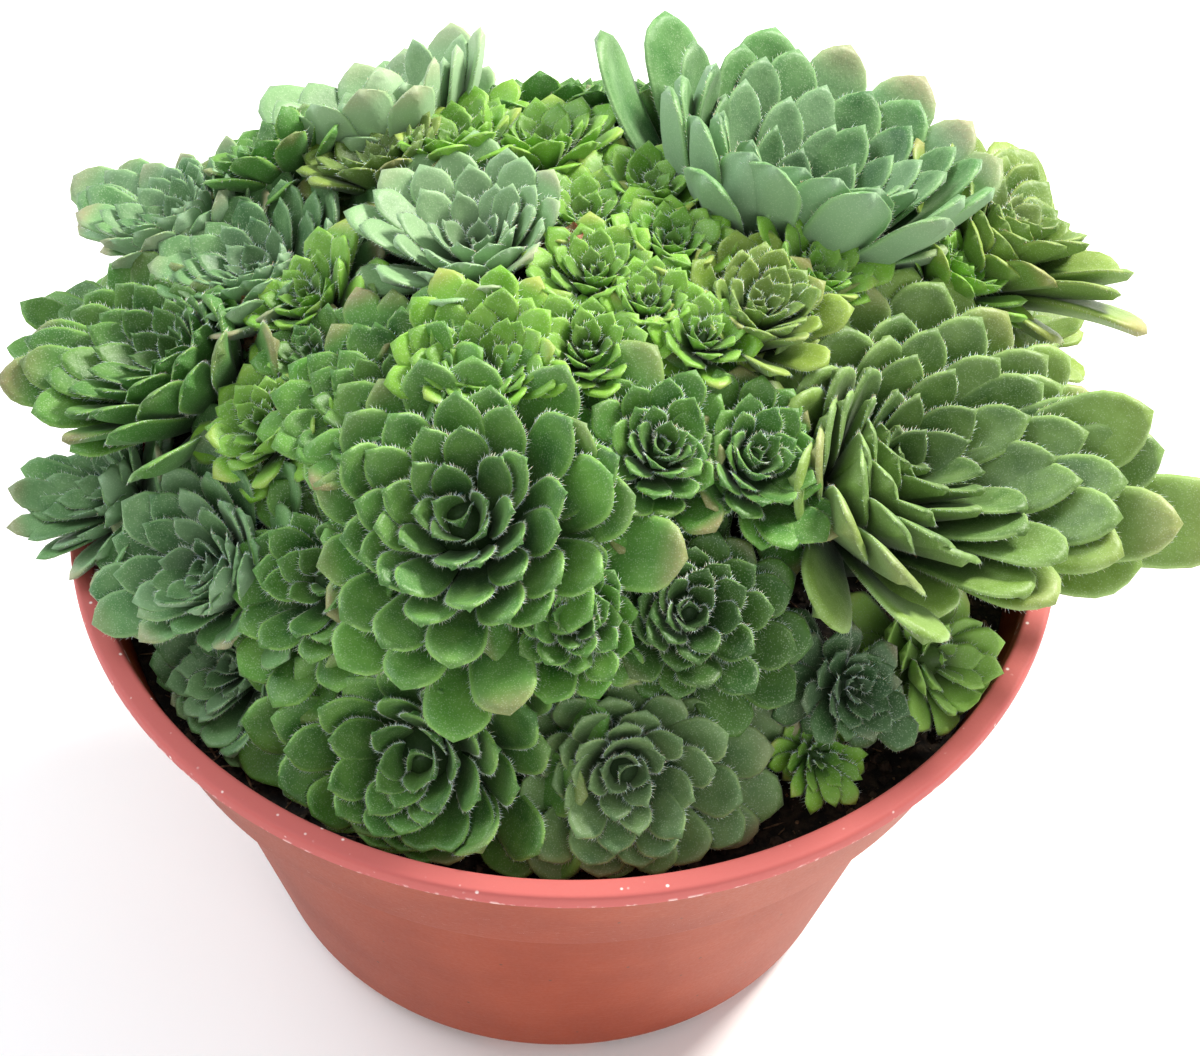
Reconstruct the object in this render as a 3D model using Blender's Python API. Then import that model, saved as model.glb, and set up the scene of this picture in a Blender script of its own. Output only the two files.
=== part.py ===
"""Potted rosularia: a low plastic bowl pot, its soil, and a mound of leaf rosettes.

The origin is the middle of the pot's underside, +Z is up and -Y is the front.
Sizes are in millimetres here and become metres when a mesh is made.
"""

import math
from typing import NamedTuple

import bmesh
import bpy
import numpy as np

MM = 0.001
CLEARANCE = 0.3
SEED = 27

# Pot
ROUND_SEGMENTS = 40
RIM_RADIUS = 90.0
POT_HEIGHT = 97.0
LIP_WIDTH = 4.0
LIP_DEPTH = 3.0
COLLAR_TOP_RADIUS = 88.0
COLLAR_FOOT_RADIUS = 79.5
COLLAR_DEPTH = 28.0
COLLAR_STEP = 4.5
COLLAR_STEP_HEIGHT = 1.5
BASE_RADIUS = 58.0
BASE_CHAMFER = 2.5
WALL = 2.0
FOOT_HEIGHT = 2.2
FOOT_OUTER_RADIUS = 55.0
FOOT_WIDTH = 4.0
FOOT_COUNT = 8
FOOT_ARC = 23.0
FOOT_SEGMENTS = 2
FRONT_FOOT_AZIMUTH = -92.0
CENTRE_PAD_RADIUS = 9.0
CENTRE_PAD_TURN = 4.0
CENTRE_PAD_SEGMENTS = 12
DRAIN_COUNT = 6
DRAIN_RADIUS = 3.5
DRAIN_CIRCLE = 30.0
DRAIN_SEGMENTS = 8
DRAIN_CUT = (-5.0, 20.0)
FOOT_SINK = 0.8
INSIDE_HEIGHTS = (71.0, 66.0, 7.0)
POT_SMOOTH_ANGLE = 35

# Soil
SOIL_TOP = 84.0
SOIL_CROWN = 1.5
SOIL_ROUGHNESS = 0.5
SOIL_RINGS = (0.55, 0.85)
HOLE_ABOVE_SOIL = 12.0

# Mound of rosettes: every stem rises on a straight line from one root point
ROOT_POINT = np.array((2.0, 6.0, 45.0))
STEM_SIDES = 5
STEM_DEPTH = 7.0
STEM_LEAST_RADIUS = 1.2
STEM_RADIUS_SHARE = 0.05
NECK_SHARE = 0.14
NECK_LENGTH = 1.0
CELL_GAP = 0.45
WIDEST_SPREAD = 10.0
BEND_SHARPNESS = 4.0
BEND_RISE = 0.25
SAFE_ABOVE_SOIL = 4.0
SAFE_ABOVE_RIM = 3.0
FURTHEST_FACTOR = 4.0
HALVINGS = 24

# One rosette: lengths are shares of its radius, and 0 is its outermost leaf
GOLDEN_ANGLE = math.radians(137.508)
LEAF_TURN = math.radians(10.0)
CORE_RADIUS = 0.37
CORE_TIP_RADIUS = 0.03
CORE_TAPER = 0.8
CORE_HEIGHT = 0.42
CORE_APEX = 0.46
CORE_SPARE_POINTS = 8
EDGE_ORDER = (0, 3, 6, 1, 4, 7, 2, 5)
LEAF_SAG = 0.08
INNER_SHORTENING = 0.60
SHORTENING_POWER = 1.3
HALF_WIDTH = 0.25
INNER_NARROWING = 0.15
WIDEST_TURN = 0.8
UPRIGHT = 86.0
OPENING_POWER = 0.9
STEEPEST_RIM_LEAF = 10.0
TIP_ABOVE_RIM = 4.0
LEAF_REACH = 1.35
EXTRA_REACH = 4.0
BUD_HEIGHT = 0.50
THICKEST_BLADE = 1.5
THINNEST_BLADE = 0.9
THICK_BLADE_RADIUS = 40.0

# How finely a blade is made: a station is (place along the leaf, share of its half width)
OUTER_LEAVES = 0.40
MIDDLE_LEAVES = 0.78
OUTER_STATIONS = ((0.52, 0.76), (0.85, 1.00))
MIDDLE_STATIONS = ((0.78, 1.00),)


class Rosette(NamedTuple):
    """One rosette: where its bud lies, seen from the root point, and its size."""

    name: str
    azimuth: int
    elevation: int
    reach: int
    radius: int
    leaves: int
    opening: int
    tint: str
    tucked: bool = False


# Opening is the outer leaves' angle in degrees above a level plate;
# a tucked rosette lies inside the pot's rim, the others stand above it.
ROSETTES = (
    Rosette("front_tall", -111, 60, 108, 34, 40, -9, "mid"),
    Rosette("front_left", -109, 37, 99, 33, 38, -5, "mid", True),
    Rosette("front_middle", -83, 38, 98, 24, 32, -5, "grey", True),
    Rosette("left_tall", -129, 50, 104, 22, 28, -10, "mid"),
    Rosette("bright_middle", -90, 53, 105, 16, 22, -5, "bright"),
    Rosette("middle_low", -72, 53, 103, 22, 28, -10, "mid"),
    Rosette("centre_right", -69, 68, 106, 18, 26, -5, "mid"),
    Rosette("centre_right_dark", -49, 64, 105, 18, 24, -5, "mid"),
    Rosette("right_big", -20, 53, 112, 54, 40, 0, "teal"),
    Rosette("dark_small", -51, 40, 100, 12, 22, 12, "teal", True),
    Rosette("lime_small", -35, 35, 97, 13, 20, 0, "bright", True),
    Rosette("tiny", -57, 34, 94, 8, 14, 10, "bright", True),
    Rosette("bud_top", -123, 74, 107, 11, 16, 5, "bright"),
    Rosette("bright_upper", -87, 79, 106, 12, 18, 5, "bright"),
    Rosette("bright_a", -60, 88, 106, 11, 14, 5, "bright"),
    Rosette("bright_b", -40, 82, 106, 9, 14, 5, "bright"),
    Rosette("bright_c", 20, 81, 106, 11, 14, 5, "bright"),
    Rosette("bright_d", -36, 76, 106, 9, 14, 5, "bright"),
    Rosette("bright_e", 90, 83, 105, 10, 14, 5, "bright"),
    Rosette("bright_f", 62, 76, 106, 10, 14, 5, "bright"),
    Rosette("left_inner", -140, 66, 105, 10, 14, 5, "mid"),
    Rosette("top_centre", 158, 79, 108, 23, 30, 0, "teal"),
    Rosette("left_small", 179, 63, 106, 12, 16, 5, "bright"),
    Rosette("left_small_low", -156, 56, 106, 13, 18, 5, "bright"),
    Rosette("left_big", 179, 47, 113, 34, 34, -4, "olive"),
    Rosette("left_rim_small", -171, 34, 105, 13, 18, 5, "teal"),
    Rosette("left_low", -148, 42, 102, 22, 26, 0, "teal"),
    Rosette("left_lower", -141, 34, 93, 20, 24, 5, "teal", True),
    Rosette("left_upper", 166, 55, 107, 20, 24, 0, "teal"),
    Rosette("left_back", 154, 43, 119, 23, 26, 0, "teal"),
    Rosette("back_left", 141, 50, 115, 14, 18, 5, "bright"),
    Rosette("dark_group", -164, 63, 106, 12, 16, 5, "mid"),
    Rosette("top_left", 122, 53, 116, 27, 30, 0, "teal"),
    Rosette("back_small_left", 136, 62, 109, 12, 14, 5, "bright"),
    Rosette("back_small_middle", 122, 65, 108, 12, 14, 5, "bright"),
    Rosette("back_small_centre", 102, 69, 107, 13, 14, 5, "bright"),
    Rosette("top_right_big", 42, 61, 117, 42, 42, 0, "teal"),
    Rosette("upper_middle_right", -12, 73, 107, 18, 20, 5, "olive"),
    Rosette("upper_right_small", 8, 67, 107, 11, 14, 5, "bright"),
    Rosette("right_small", 18, 50, 112, 13, 16, 5, "bright"),
    Rosette("right_upper", 24, 44, 124, 28, 25, 6, "olive"),
    Rosette("far_left_back", 164, 36, 112, 18, 20, 0, "mid"),
    Rosette("right_back", 50, 42, 112, 22, 26, 0, "teal"),
    Rosette("back_right", 73, 50, 108, 21, 24, 0, "mid"),
    Rosette("back_centre", 97, 53, 108, 19, 22, 0, "mid"),
    Rosette("back_low_right", 72, 37, 106, 18, 20, 5, "bright"),
    Rosette("back_low_centre", 94, 37, 106, 18, 20, 5, "teal"),
    Rosette("back_low_left", 116, 38, 108, 19, 20, 5, "mid"),
    Rosette("left_back_low", 139, 37, 110, 19, 20, 5, "teal"),
    Rosette("right_low_back", 24, 36, 107, 14, 18, 5, "mid"),
    Rosette("right_low", 4, 36, 106, 14, 18, 5, "teal"),
)

TINTS = {
    "mid": (0.075, 0.235, 0.045),
    "grey": (0.110, 0.220, 0.095),
    "bright": (0.150, 0.360, 0.035),
    "teal": (0.055, 0.190, 0.085),
    "olive": (0.190, 0.300, 0.060),
}
POT_COLOUR = (0.42, 0.115, 0.065)
SOIL_COLOUR = (0.012, 0.009, 0.007)
LEAF_MATTNESS = 0.6
POT_MATTNESS = 0.45
SOIL_MATTNESS = 0.95


def clear_scene():
    """Removes the objects that a new file starts with."""
    for item in list(bpy.data.objects):
        bpy.data.objects.remove(item, do_unlink=True)


def plain_material(name, colour, roughness):
    """A Principled material of one colour."""
    material = bpy.data.materials.new(name)
    material.use_nodes = True
    shader = material.node_tree.nodes["Principled BSDF"]
    shader.inputs["Base Color"].default_value = (*colour, 1.0)
    shader.inputs["Roughness"].default_value = roughness
    shader.inputs["Metallic"].default_value = 0.0
    return material


def add_solid(name, points, faces, material, smooth_angle=None):
    """Makes one object from points in millimetres, with its faces turned outwards."""
    mesh = bpy.data.meshes.new(name)
    mesh.from_pydata([tuple(point) for point in np.asarray(points) * MM], [], faces)
    work = bmesh.new()
    work.from_mesh(mesh)
    bmesh.ops.recalc_face_normals(work, faces=work.faces)
    work.to_mesh(mesh)
    work.free()
    if smooth_angle is not None:
        mesh.shade_smooth()
        mesh.set_sharp_from_angle(angle=math.radians(smooth_angle))
    if material is not None:
        mesh.materials.append(material)
    solid = bpy.data.objects.new(name, mesh)
    bpy.context.scene.collection.objects.link(solid)
    return solid


def turned_points(profile, segments, start=0.0, sweep=360.0):
    """Rings of points made by turning (radius, height) pairs round the Z axis."""
    count = segments if sweep == 360.0 else segments + 1
    rings = []
    for step in range(count):
        angle = math.radians(start + sweep * step / segments)
        rings.append([(r * math.cos(angle), r * math.sin(angle), z) for r, z in profile])
    return rings


def turned_plug(name, profile, segments, material, smooth_angle=None):
    """A profile from the axis at the bottom to the axis at the top, turned into a solid."""
    body = profile[1:-1]
    rings = turned_points(body, segments)
    points = [point for ring in rings for point in ring]
    size = len(body)
    bottom = len(points)
    top = bottom + 1
    points.append((0.0, 0.0, profile[0][1]))
    points.append((0.0, 0.0, profile[-1][1]))
    faces = []
    for step in range(segments):
        here = step * size
        there = (step + 1) % segments * size
        faces.append((bottom, there, here))
        for edge in range(size - 1):
            faces.append((here + edge, there + edge, there + edge + 1, here + edge + 1))
        faces.append((here + size - 1, there + size - 1, top))
    return add_solid(name, points, faces, material, smooth_angle)


def arc_block(name, inner, outer, low, high, middle, arc, segments):
    """A block that follows an arc of a ring, such as one foot of the pot."""
    profile = ((inner, low), (outer, low), (outer, high), (inner, high))
    rings = turned_points(profile, segments, middle - arc / 2, arc)
    points = [point for ring in rings for point in ring]
    faces = [(3, 2, 1, 0)]
    for step in range(segments):
        here = step * 4
        for edge in range(4):
            following = (edge + 1) % 4
            faces.append((here + edge, here + following, here + 4 + following, here + 4 + edge))
    last = segments * 4
    faces.append((last, last + 1, last + 2, last + 3))
    return add_solid(name, points, faces, None)


def group(name, members):
    """Moves objects into a hidden collection that a Boolean can use."""
    holder = bpy.data.collections.new(name)
    bpy.context.scene.collection.children.link(holder)
    for member in members:
        holder.objects.link(member)
        bpy.context.scene.collection.objects.unlink(member)
    return holder


def apply_boolean(target, operation, holder):
    """Joins or cuts the target with a collection, applies it and removes the tools."""
    modifier = target.modifiers.new("shape", "BOOLEAN")
    modifier.operation = operation
    modifier.operand_type = "COLLECTION"
    modifier.collection = holder
    modifier.solver = "EXACT"
    bpy.context.view_layer.update()
    depsgraph = bpy.context.evaluated_depsgraph_get()
    shaped = bpy.data.meshes.new_from_object(target.evaluated_get(depsgraph))
    shaped.name = target.name
    target.modifiers.clear()
    target.data = shaped
    for member in list(holder.objects):
        bpy.data.objects.remove(member, do_unlink=True)
    bpy.data.collections.remove(holder)


def wall_radius(height):
    """Outer radius of the pot at a height, with the lip and the collar's step left out."""
    collar_foot = POT_HEIGHT - COLLAR_DEPTH
    if height >= collar_foot:
        share = (height - collar_foot) / (COLLAR_DEPTH - LIP_DEPTH)
        return COLLAR_FOOT_RADIUS + (COLLAR_TOP_RADIUS - COLLAR_FOOT_RADIUS) * min(share, 1.0)
    low = FOOT_HEIGHT + BASE_CHAMFER
    share = (height - low) / (collar_foot - COLLAR_STEP_HEIGHT - low)
    return BASE_RADIUS + (COLLAR_FOOT_RADIUS - COLLAR_STEP - BASE_RADIUS) * share


def inner_radius(height):
    """Inner radius of the pot at a height; the inside has the collar's step as well."""
    ledge, wall_top, _ = INSIDE_HEIGHTS
    rim_inner = RIM_RADIUS - LIP_WIDTH
    ledge_radius = wall_radius(ledge) - WALL
    if height >= ledge:
        share = (height - ledge) / (POT_HEIGHT - ledge)
        return ledge_radius + (rim_inner - ledge_radius) * share
    wall_top_radius = wall_radius(wall_top) - WALL
    if height >= wall_top:
        share = (height - wall_top) / (ledge - wall_top)
        return wall_top_radius + (ledge_radius - wall_top_radius) * share
    return wall_radius(height) - WALL


def pot_profile():
    """The pot's section: from the axis under the floor, up the outside and down the inside."""
    collar_foot = POT_HEIGHT - COLLAR_DEPTH
    floor = FOOT_HEIGHT
    profile = [
        (0.0, floor),
        (BASE_RADIUS - BASE_CHAMFER, floor),
        (BASE_RADIUS, floor + BASE_CHAMFER),
        (COLLAR_FOOT_RADIUS - COLLAR_STEP, collar_foot - COLLAR_STEP_HEIGHT),
        (COLLAR_FOOT_RADIUS, collar_foot),
        (COLLAR_TOP_RADIUS, POT_HEIGHT - LIP_DEPTH),
        (RIM_RADIUS, POT_HEIGHT - LIP_DEPTH),
        (RIM_RADIUS, POT_HEIGHT),
        (RIM_RADIUS - LIP_WIDTH, POT_HEIGHT),
    ]
    for height in INSIDE_HEIGHTS:
        profile.append((inner_radius(height), height))
    profile.append((inner_radius(INSIDE_HEIGHTS[-1]) - BASE_CHAMFER, floor + WALL))
    profile.append((0.0, floor + WALL))
    return profile


def build_pot():
    """The bowl pot with its lip, collar, feet, centre pad and drain holes."""
    material = plain_material("pot_plastic", POT_COLOUR, POT_MATTNESS)
    pot = turned_plug("pot", pot_profile(), ROUND_SEGMENTS, material, POT_SMOOTH_ANGLE)
    pad_top = FOOT_HEIGHT + FOOT_SINK
    pads = []
    for index in range(FOOT_COUNT):
        middle = FRONT_FOOT_AZIMUTH + index * 360.0 / FOOT_COUNT
        inner = FOOT_OUTER_RADIUS - FOOT_WIDTH
        name = f"foot_{index}"
        foot = arc_block(name, inner, FOOT_OUTER_RADIUS, 0.0, pad_top, middle, FOOT_ARC, FOOT_SEGMENTS)
        pads.append(foot)
    centre = ((0.0, 0.0), (CENTRE_PAD_RADIUS, 0.0), (CENTRE_PAD_RADIUS, pad_top), (0.0, pad_top))
    pad = turned_plug("centre_pad", centre, CENTRE_PAD_SEGMENTS, None)
    pad.rotation_euler.z = math.radians(CENTRE_PAD_TURN)
    pads.append(pad)
    apply_boolean(pot, "UNION", group("pot_pads", pads))
    drains = []
    low, high = DRAIN_CUT
    profile = ((0.0, low), (DRAIN_RADIUS, low), (DRAIN_RADIUS, high), (0.0, high))
    for index in range(DRAIN_COUNT):
        angle = 2 * math.pi * (index + 0.5) / DRAIN_COUNT
        drain = turned_plug(f"drain_{index}", profile, DRAIN_SEGMENTS, None)
        drain.location = (DRAIN_CIRCLE * math.cos(angle) * MM, DRAIN_CIRCLE * math.sin(angle) * MM, 0.0)
        drains.append(drain)
    apply_boolean(pot, "DIFFERENCE", group("pot_drains", drains))
    return pot


def unit(vector):
    """A vector of length one."""
    return vector / np.linalg.norm(vector)


def spine_direction(rosette):
    """From the root point towards a rosette's bud."""
    azimuth = math.radians(rosette.azimuth)
    elevation = math.radians(rosette.elevation)
    level = math.cos(elevation)
    return np.array((level * math.cos(azimuth), level * math.sin(azimuth), math.sin(elevation)))


def cell_walls(rosette):
    """Normals of the planes through the root point that part a rosette from the others."""
    own = spine_direction(rosette)
    own_spread = math.atan2(rosette.radius, rosette.reach)
    walls = []
    for other in ROSETTES:
        if other.name == rosette.name:
            continue
        towards = spine_direction(other)
        between = math.acos(float(np.clip(own @ towards, -1.0, 1.0)))
        share = own_spread / (own_spread + math.atan2(other.radius, other.reach))
        sideways = unit(towards - own * (own @ towards))
        turn = between * share
        walls.append(sideways * math.cos(turn) - own * math.sin(turn))
    return np.array(walls)


def soft_limit(value, limit):
    """Leaves small values alone and never lets one reach the limit."""
    return value / (1.0 + (value / limit) ** BEND_SHARPNESS) ** (1.0 / BEND_SHARPNESS)


def allowed(points, tucked):
    """True where a head may be: inside the pot's wall and above the soil, or above the rim."""
    height = points[:, 2]
    if not tucked:
        return height > POT_HEIGHT + CLEARANCE
    out = np.hypot(points[:, 0], points[:, 1])
    rim_inner = RIM_RADIUS - LIP_WIDTH
    low = inner_radius(SOIL_TOP)
    slope = (rim_inner - low) / (POT_HEIGHT - SOIL_TOP)
    wall = np.minimum(low + slope * (height - SOIL_TOP), rim_inner)
    polygon = math.cos(math.pi / ROUND_SEGMENTS)
    above_soil = height > SOIL_TOP + SOIL_CROWN + SOIL_ROUGHNESS + CLEARANCE
    return (out < wall * polygon - CLEARANCE) & above_soil


def bend_clear(points, rosette, head):
    """Bends points inwards and upwards until they stay in the rosette's own cell."""
    own = spine_direction(rosette)
    offset = points - ROOT_POINT
    depth = offset @ own
    lateral = offset / depth[:, None] - own
    spread = np.maximum(np.linalg.norm(lateral, axis=1), 1e-9)
    sideways = lateral / spread[:, None]
    walls = cell_walls(rosette)
    toward = sideways @ walls.T
    room = -(walls @ own)[None, :] - CELL_GAP / 2 / depth[:, None]
    limit = np.where(toward > 1e-6, room / np.maximum(toward, 1e-6), WIDEST_SPREAD).min(axis=1)
    bent = soft_limit(spread, limit)
    depth = depth * (1.0 + BEND_RISE * (spread - bent))
    settled = ROOT_POINT + depth[:, None] * (own + bent[:, None] * sideways)
    if not head:
        return settled
    middle = ROOT_POINT + np.maximum(depth, safe_depth(rosette))[:, None] * own
    away = settled - middle
    low = np.zeros(len(points))
    high = np.full(len(points), FURTHEST_FACTOR)
    for _ in range(HALVINGS):
        trial = (low + high) / 2
        fits = allowed(middle + trial[:, None] * away, rosette.tucked)
        low = np.where(fits, trial, low)
        high = np.where(fits, high, trial)
    kept = soft_limit(1.0, low)
    return middle + kept[:, None] * away


def safe_depth(rosette):
    """Distance along the spine from which a head is clear of the rim, or of the soil."""
    floor = SOIL_TOP + SAFE_ABOVE_SOIL if rosette.tucked else POT_HEIGHT + SAFE_ABOVE_RIM
    return (floor - ROOT_POINT[2]) / spine_direction(rosette)[2]


def local_axes(rosette):
    """Two level-ish directions square to the rosette's axis, and the axis."""
    own = spine_direction(rosette)
    across = unit(np.cross((0.0, 0.0, 1.0), own))
    return np.array((across, np.cross(own, across), own))


def round_point(radius, angle, height):
    """A point given by its radius, angle and height."""
    return np.array((radius * math.cos(angle), radius * math.sin(angle), height))


def core_point(rosette, index):
    """Point of the spiral lattice that carries the leaves; 0 is the outermost."""
    share = index / (rosette.leaves + CORE_SPARE_POINTS - 1)
    radius = rosette.radius * (CORE_RADIUS * (1.0 - share) ** CORE_TAPER + CORE_TIP_RADIUS)
    height = rosette.radius * CORE_HEIGHT * share
    return round_point(radius, index * GOLDEN_ANGLE, height)


def level_opening(rosette, direction, length):
    """Angle above the plate at which a leaf's tip just clears the pot's rim."""
    own = spine_direction(rosette)
    rise = own[2]
    slope = math.sin(direction) * math.hypot(own[0], own[1])
    reach = length * math.hypot(rise, slope)
    drop = POT_HEIGHT + TIP_ABOVE_RIM - ROOT_POINT[2] - core_reach(rosette) * rise
    return math.asin(float(np.clip(drop / reach, -1.0, 1.0))) - math.atan2(slope, rise)


def leaf_shape(rosette, index):
    """Tip radius, tip height and half width of a leaf, in millimetres."""
    share = index / (rosette.leaves - 1)
    longest = rosette.radius * LEAF_REACH + EXTRA_REACH
    length = longest * (1.0 - INNER_SHORTENING * share ** SHORTENING_POWER)
    half_width = longest * (HALF_WIDTH - INNER_NARROWING * share)
    direction = index * GOLDEN_ANGLE + LEAF_TURN
    lowest = math.radians(rosette.opening)
    if not rosette.tucked:
        level = min(level_opening(rosette, direction, longest), math.radians(STEEPEST_RIM_LEAF))
        lowest = max(lowest, level)
    opening = lowest + (math.radians(UPRIGHT) - lowest) * share ** OPENING_POWER
    return length * math.cos(opening), length * math.sin(opening), half_width


def blade_rings(rosette, index, base):
    """Rings of four points along a leaf, and its tip."""
    tip_radius, tip_height, half_width = leaf_shape(rosette, index)
    share = index / (rosette.leaves - 1)
    direction = index * GOLDEN_ANGLE + LEAF_TURN
    start = np.array((math.hypot(base[0], base[1]), base[2]))
    end = np.array((tip_radius, tip_height))
    along = end - start
    normal = np.array((-along[1], along[0]))
    control = (start + end) / 2 - LEAF_SAG * normal
    outer_share = (1.0 - share) * rosette.radius / THICK_BLADE_RADIUS
    thickness = THINNEST_BLADE + (THICKEST_BLADE - THINNEST_BLADE) * outer_share
    if share < OUTER_LEAVES:
        stations = OUTER_STATIONS
    elif share < MIDDLE_LEAVES:
        stations = MIDDLE_STATIONS
    else:
        stations = ()
    rings = []
    for place, width in stations:
        spot = (1 - place) ** 2 * start + 2 * place * (1 - place) * control + place ** 2 * end
        slope = unit(2 * (1 - place) * (control - start) + 2 * place * (end - control))
        turn = min(half_width * width / max(spot[0], CLEARANCE), WIDEST_TURN)
        rings.append((
            round_point(spot[0] + slope[1] * thickness, direction, spot[1] - slope[0] * thickness),
            round_point(spot[0], direction + turn, spot[1]),
            round_point(spot[0], direction - turn, spot[1]),
        ))
    return rings, round_point(end[0], direction, end[1])


def rosette_mesh(rosette):
    """Points and triangles of the head: leaves on a spiral core, and the underside's loop."""
    count = rosette.leaves
    points = [core_point(rosette, index) for index in range(count + CORE_SPARE_POINTS)]
    faces = []
    for index in range(count):
        ring = [index, index + 3, index + 8, index + 5]
        base = sum(points[corner] for corner in ring) / 4
        rings, tip = blade_rings(rosette, index, base)
        for blade in rings:
            keel, left, right = range(len(points), len(points) + 3)
            points.extend(blade)
            faces.extend(((ring[0], ring[1], left), (ring[0], left, keel)))
            faces.extend(((ring[0], ring[-1], right), (ring[0], right, keel)))
            faces.extend(((ring[1], ring[2], left), (ring[2], right, left)))
            if len(ring) == 4:
                faces.append((ring[2], ring[3], right))
            ring = [keel, left, right]
        points.append(tip)
        for corner in range(len(ring)):
            faces.append((ring[corner], ring[(corner + 1) % len(ring)], len(points) - 1))
    last = count + CORE_SPARE_POINTS
    points.append(round_point(0.0, 0.0, rosette.radius * CORE_APEX))
    apex = len(points) - 1
    crown = [last - 1 - step for step in EDGE_ORDER]
    for step in range(len(crown)):
        faces.append((crown[step], crown[(step + 1) % len(crown)], apex))
    return points, faces, EDGE_ORDER


def core_reach(rosette):
    """Distance from the root point to the plane where the outer leaves start."""
    return rosette.reach - BUD_HEIGHT * rosette.radius


def stem_radius(rosette):
    """Radius of the stem, thicker under a larger head."""
    return STEM_LEAST_RADIUS + rosette.radius * STEM_RADIUS_SHARE


def soil_crossing(rosette):
    """Distance from the root point along the spine to the soil's level."""
    return (SOIL_TOP - ROOT_POINT[2]) / spine_direction(rosette)[2]


def build_rosette(rosette, material):
    """One rosette with its leaves, core and stem as one solid."""
    points, faces, loop = rosette_mesh(rosette)
    axes = local_axes(rosette)
    own = spine_direction(rosette)
    centre = ROOT_POINT + own * core_reach(rosette)
    head = bend_clear(centre + np.array(points) @ axes, rosette, True)
    foot = soil_crossing(rosette) - STEM_DEPTH
    radius = stem_radius(rosette)
    stem = []
    for distance in (core_reach(rosette) - NECK_SHARE * rosette.radius - NECK_LENGTH, foot):
        for side in range(STEM_SIDES):
            angle = 2 * math.pi * side / STEM_SIDES
            middle = ROOT_POINT + own * distance
            stem.append(middle + radius * (math.cos(angle) * axes[0] + math.sin(angle) * axes[1]))
    start = len(points)
    upper = list(range(start, start + STEM_SIDES))
    lower = [corner + STEM_SIDES for corner in upper]
    faces.extend(zipped(loop, [corner * GOLDEN_ANGLE for corner in loop], upper))
    for side in range(STEM_SIDES):
        following = (side + 1) % STEM_SIDES
        faces.append((upper[side], upper[following], lower[following], lower[side]))
    faces.append(tuple(lower))
    points = np.vstack((head, stem))
    return add_solid("rosette_" + rosette.name, points, faces, material)


def zipped(loop, angles, ring):
    """Triangles between an outer loop, with its angles, and an even inner ring."""
    full = 2 * math.pi
    outer = sorted((angle % full, corner) for angle, corner in zip(angles, loop))
    inner = [(full * side / len(ring), corner) for side, corner in enumerate(ring)]
    faces = []
    left = 0
    right = 0
    while left < len(outer) or right < len(inner):
        next_outer = outer[left % len(outer)][0] + full * (left // len(outer))
        next_inner = inner[right % len(inner)][0] + full * (right // len(inner))
        here_outer = outer[(left - 1) % len(outer)][1]
        here_inner = inner[(right - 1) % len(inner)][1]
        if right >= len(inner) or (left < len(outer) and next_outer <= next_inner):
            faces.append((here_outer, outer[left % len(outer)][1], here_inner))
            left += 1
        else:
            faces.append((here_inner, inner[right % len(inner)][1], here_outer))
            right += 1
    return faces


def build_soil():
    """The soil that fills the pot, with a plain hole for each stem."""
    material = plain_material("soil", SOIL_COLOUR, SOIL_MATTNESS)
    floor = FOOT_HEIGHT + WALL + CLEARANCE
    gap = CLEARANCE / math.cos(math.pi / ROUND_SEGMENTS)
    edge = inner_radius(SOIL_TOP) - gap
    profile = [(0.0, floor), (inner_radius(INSIDE_HEIGHTS[-1]) - BASE_CHAMFER - gap, floor)]
    for height in reversed(INSIDE_HEIGHTS):
        profile.append((inner_radius(height) - gap, height))
    profile.append((edge, SOIL_TOP))
    for share in reversed(SOIL_RINGS):
        profile.append((edge * share, SOIL_TOP + SOIL_CROWN * (1.0 - share ** 2)))
    profile.append((0.0, SOIL_TOP + SOIL_CROWN))
    soil = turned_plug("soil", profile, ROUND_SEGMENTS, material)
    draws = np.random.default_rng(SEED)
    for vertex in soil.data.vertices:
        if vertex.co.z > (SOIL_TOP - 0.5) * MM:
            vertex.co.z += float(draws.uniform(-SOIL_ROUGHNESS, SOIL_ROUGHNESS)) * MM
    holes = []
    for rosette in ROSETTES:
        own = spine_direction(rosette)
        axes = local_axes(rosette)
        radius = stem_radius(rosette) + CLEARANCE / math.cos(math.pi / STEM_SIDES)
        points = []
        level = soil_crossing(rosette)
        for distance in (level - STEM_DEPTH - CLEARANCE, level + HOLE_ABOVE_SOIL):
            for corner in range(STEM_SIDES):
                angle = 2 * math.pi * corner / STEM_SIDES
                spot = ROOT_POINT + own * distance
                points.append(spot + radius * (math.cos(angle) * axes[0] + math.sin(angle) * axes[1]))
        faces = [tuple(range(STEM_SIDES)), tuple(range(STEM_SIDES, 2 * STEM_SIDES))]
        for corner in range(STEM_SIDES):
            following = (corner + 1) % STEM_SIDES
            faces.append((corner, following, following + STEM_SIDES, corner + STEM_SIDES))
        holes.append(add_solid("hole_" + rosette.name, points, faces, None))
    apply_boolean(soil, "DIFFERENCE", group("soil_holes", holes))
    return soil


def main():
    """Builds every piece of the potted plant."""
    clear_scene()
    build_pot()
    build_soil()
    greens = {tint: plain_material("leaf_" + tint, colour, LEAF_MATTNESS) for tint, colour in TINTS.items()}
    for rosette in ROSETTES:
        build_rosette(rosette, greens[rosette.tint])


main()
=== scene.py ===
"""Looks for the potted rosularia: fine leaves, hairs, crumbs of soil, the moulded pot and the studio.

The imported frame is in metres. Shapes are worked out in millimetres, as in the part's source, and
become metres when a mesh is made.
"""

import logging
import math
from dataclasses import dataclass, field
from enum import Enum, IntEnum

import bpy
import numpy as np
from mathutils import Matrix, Vector


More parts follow.
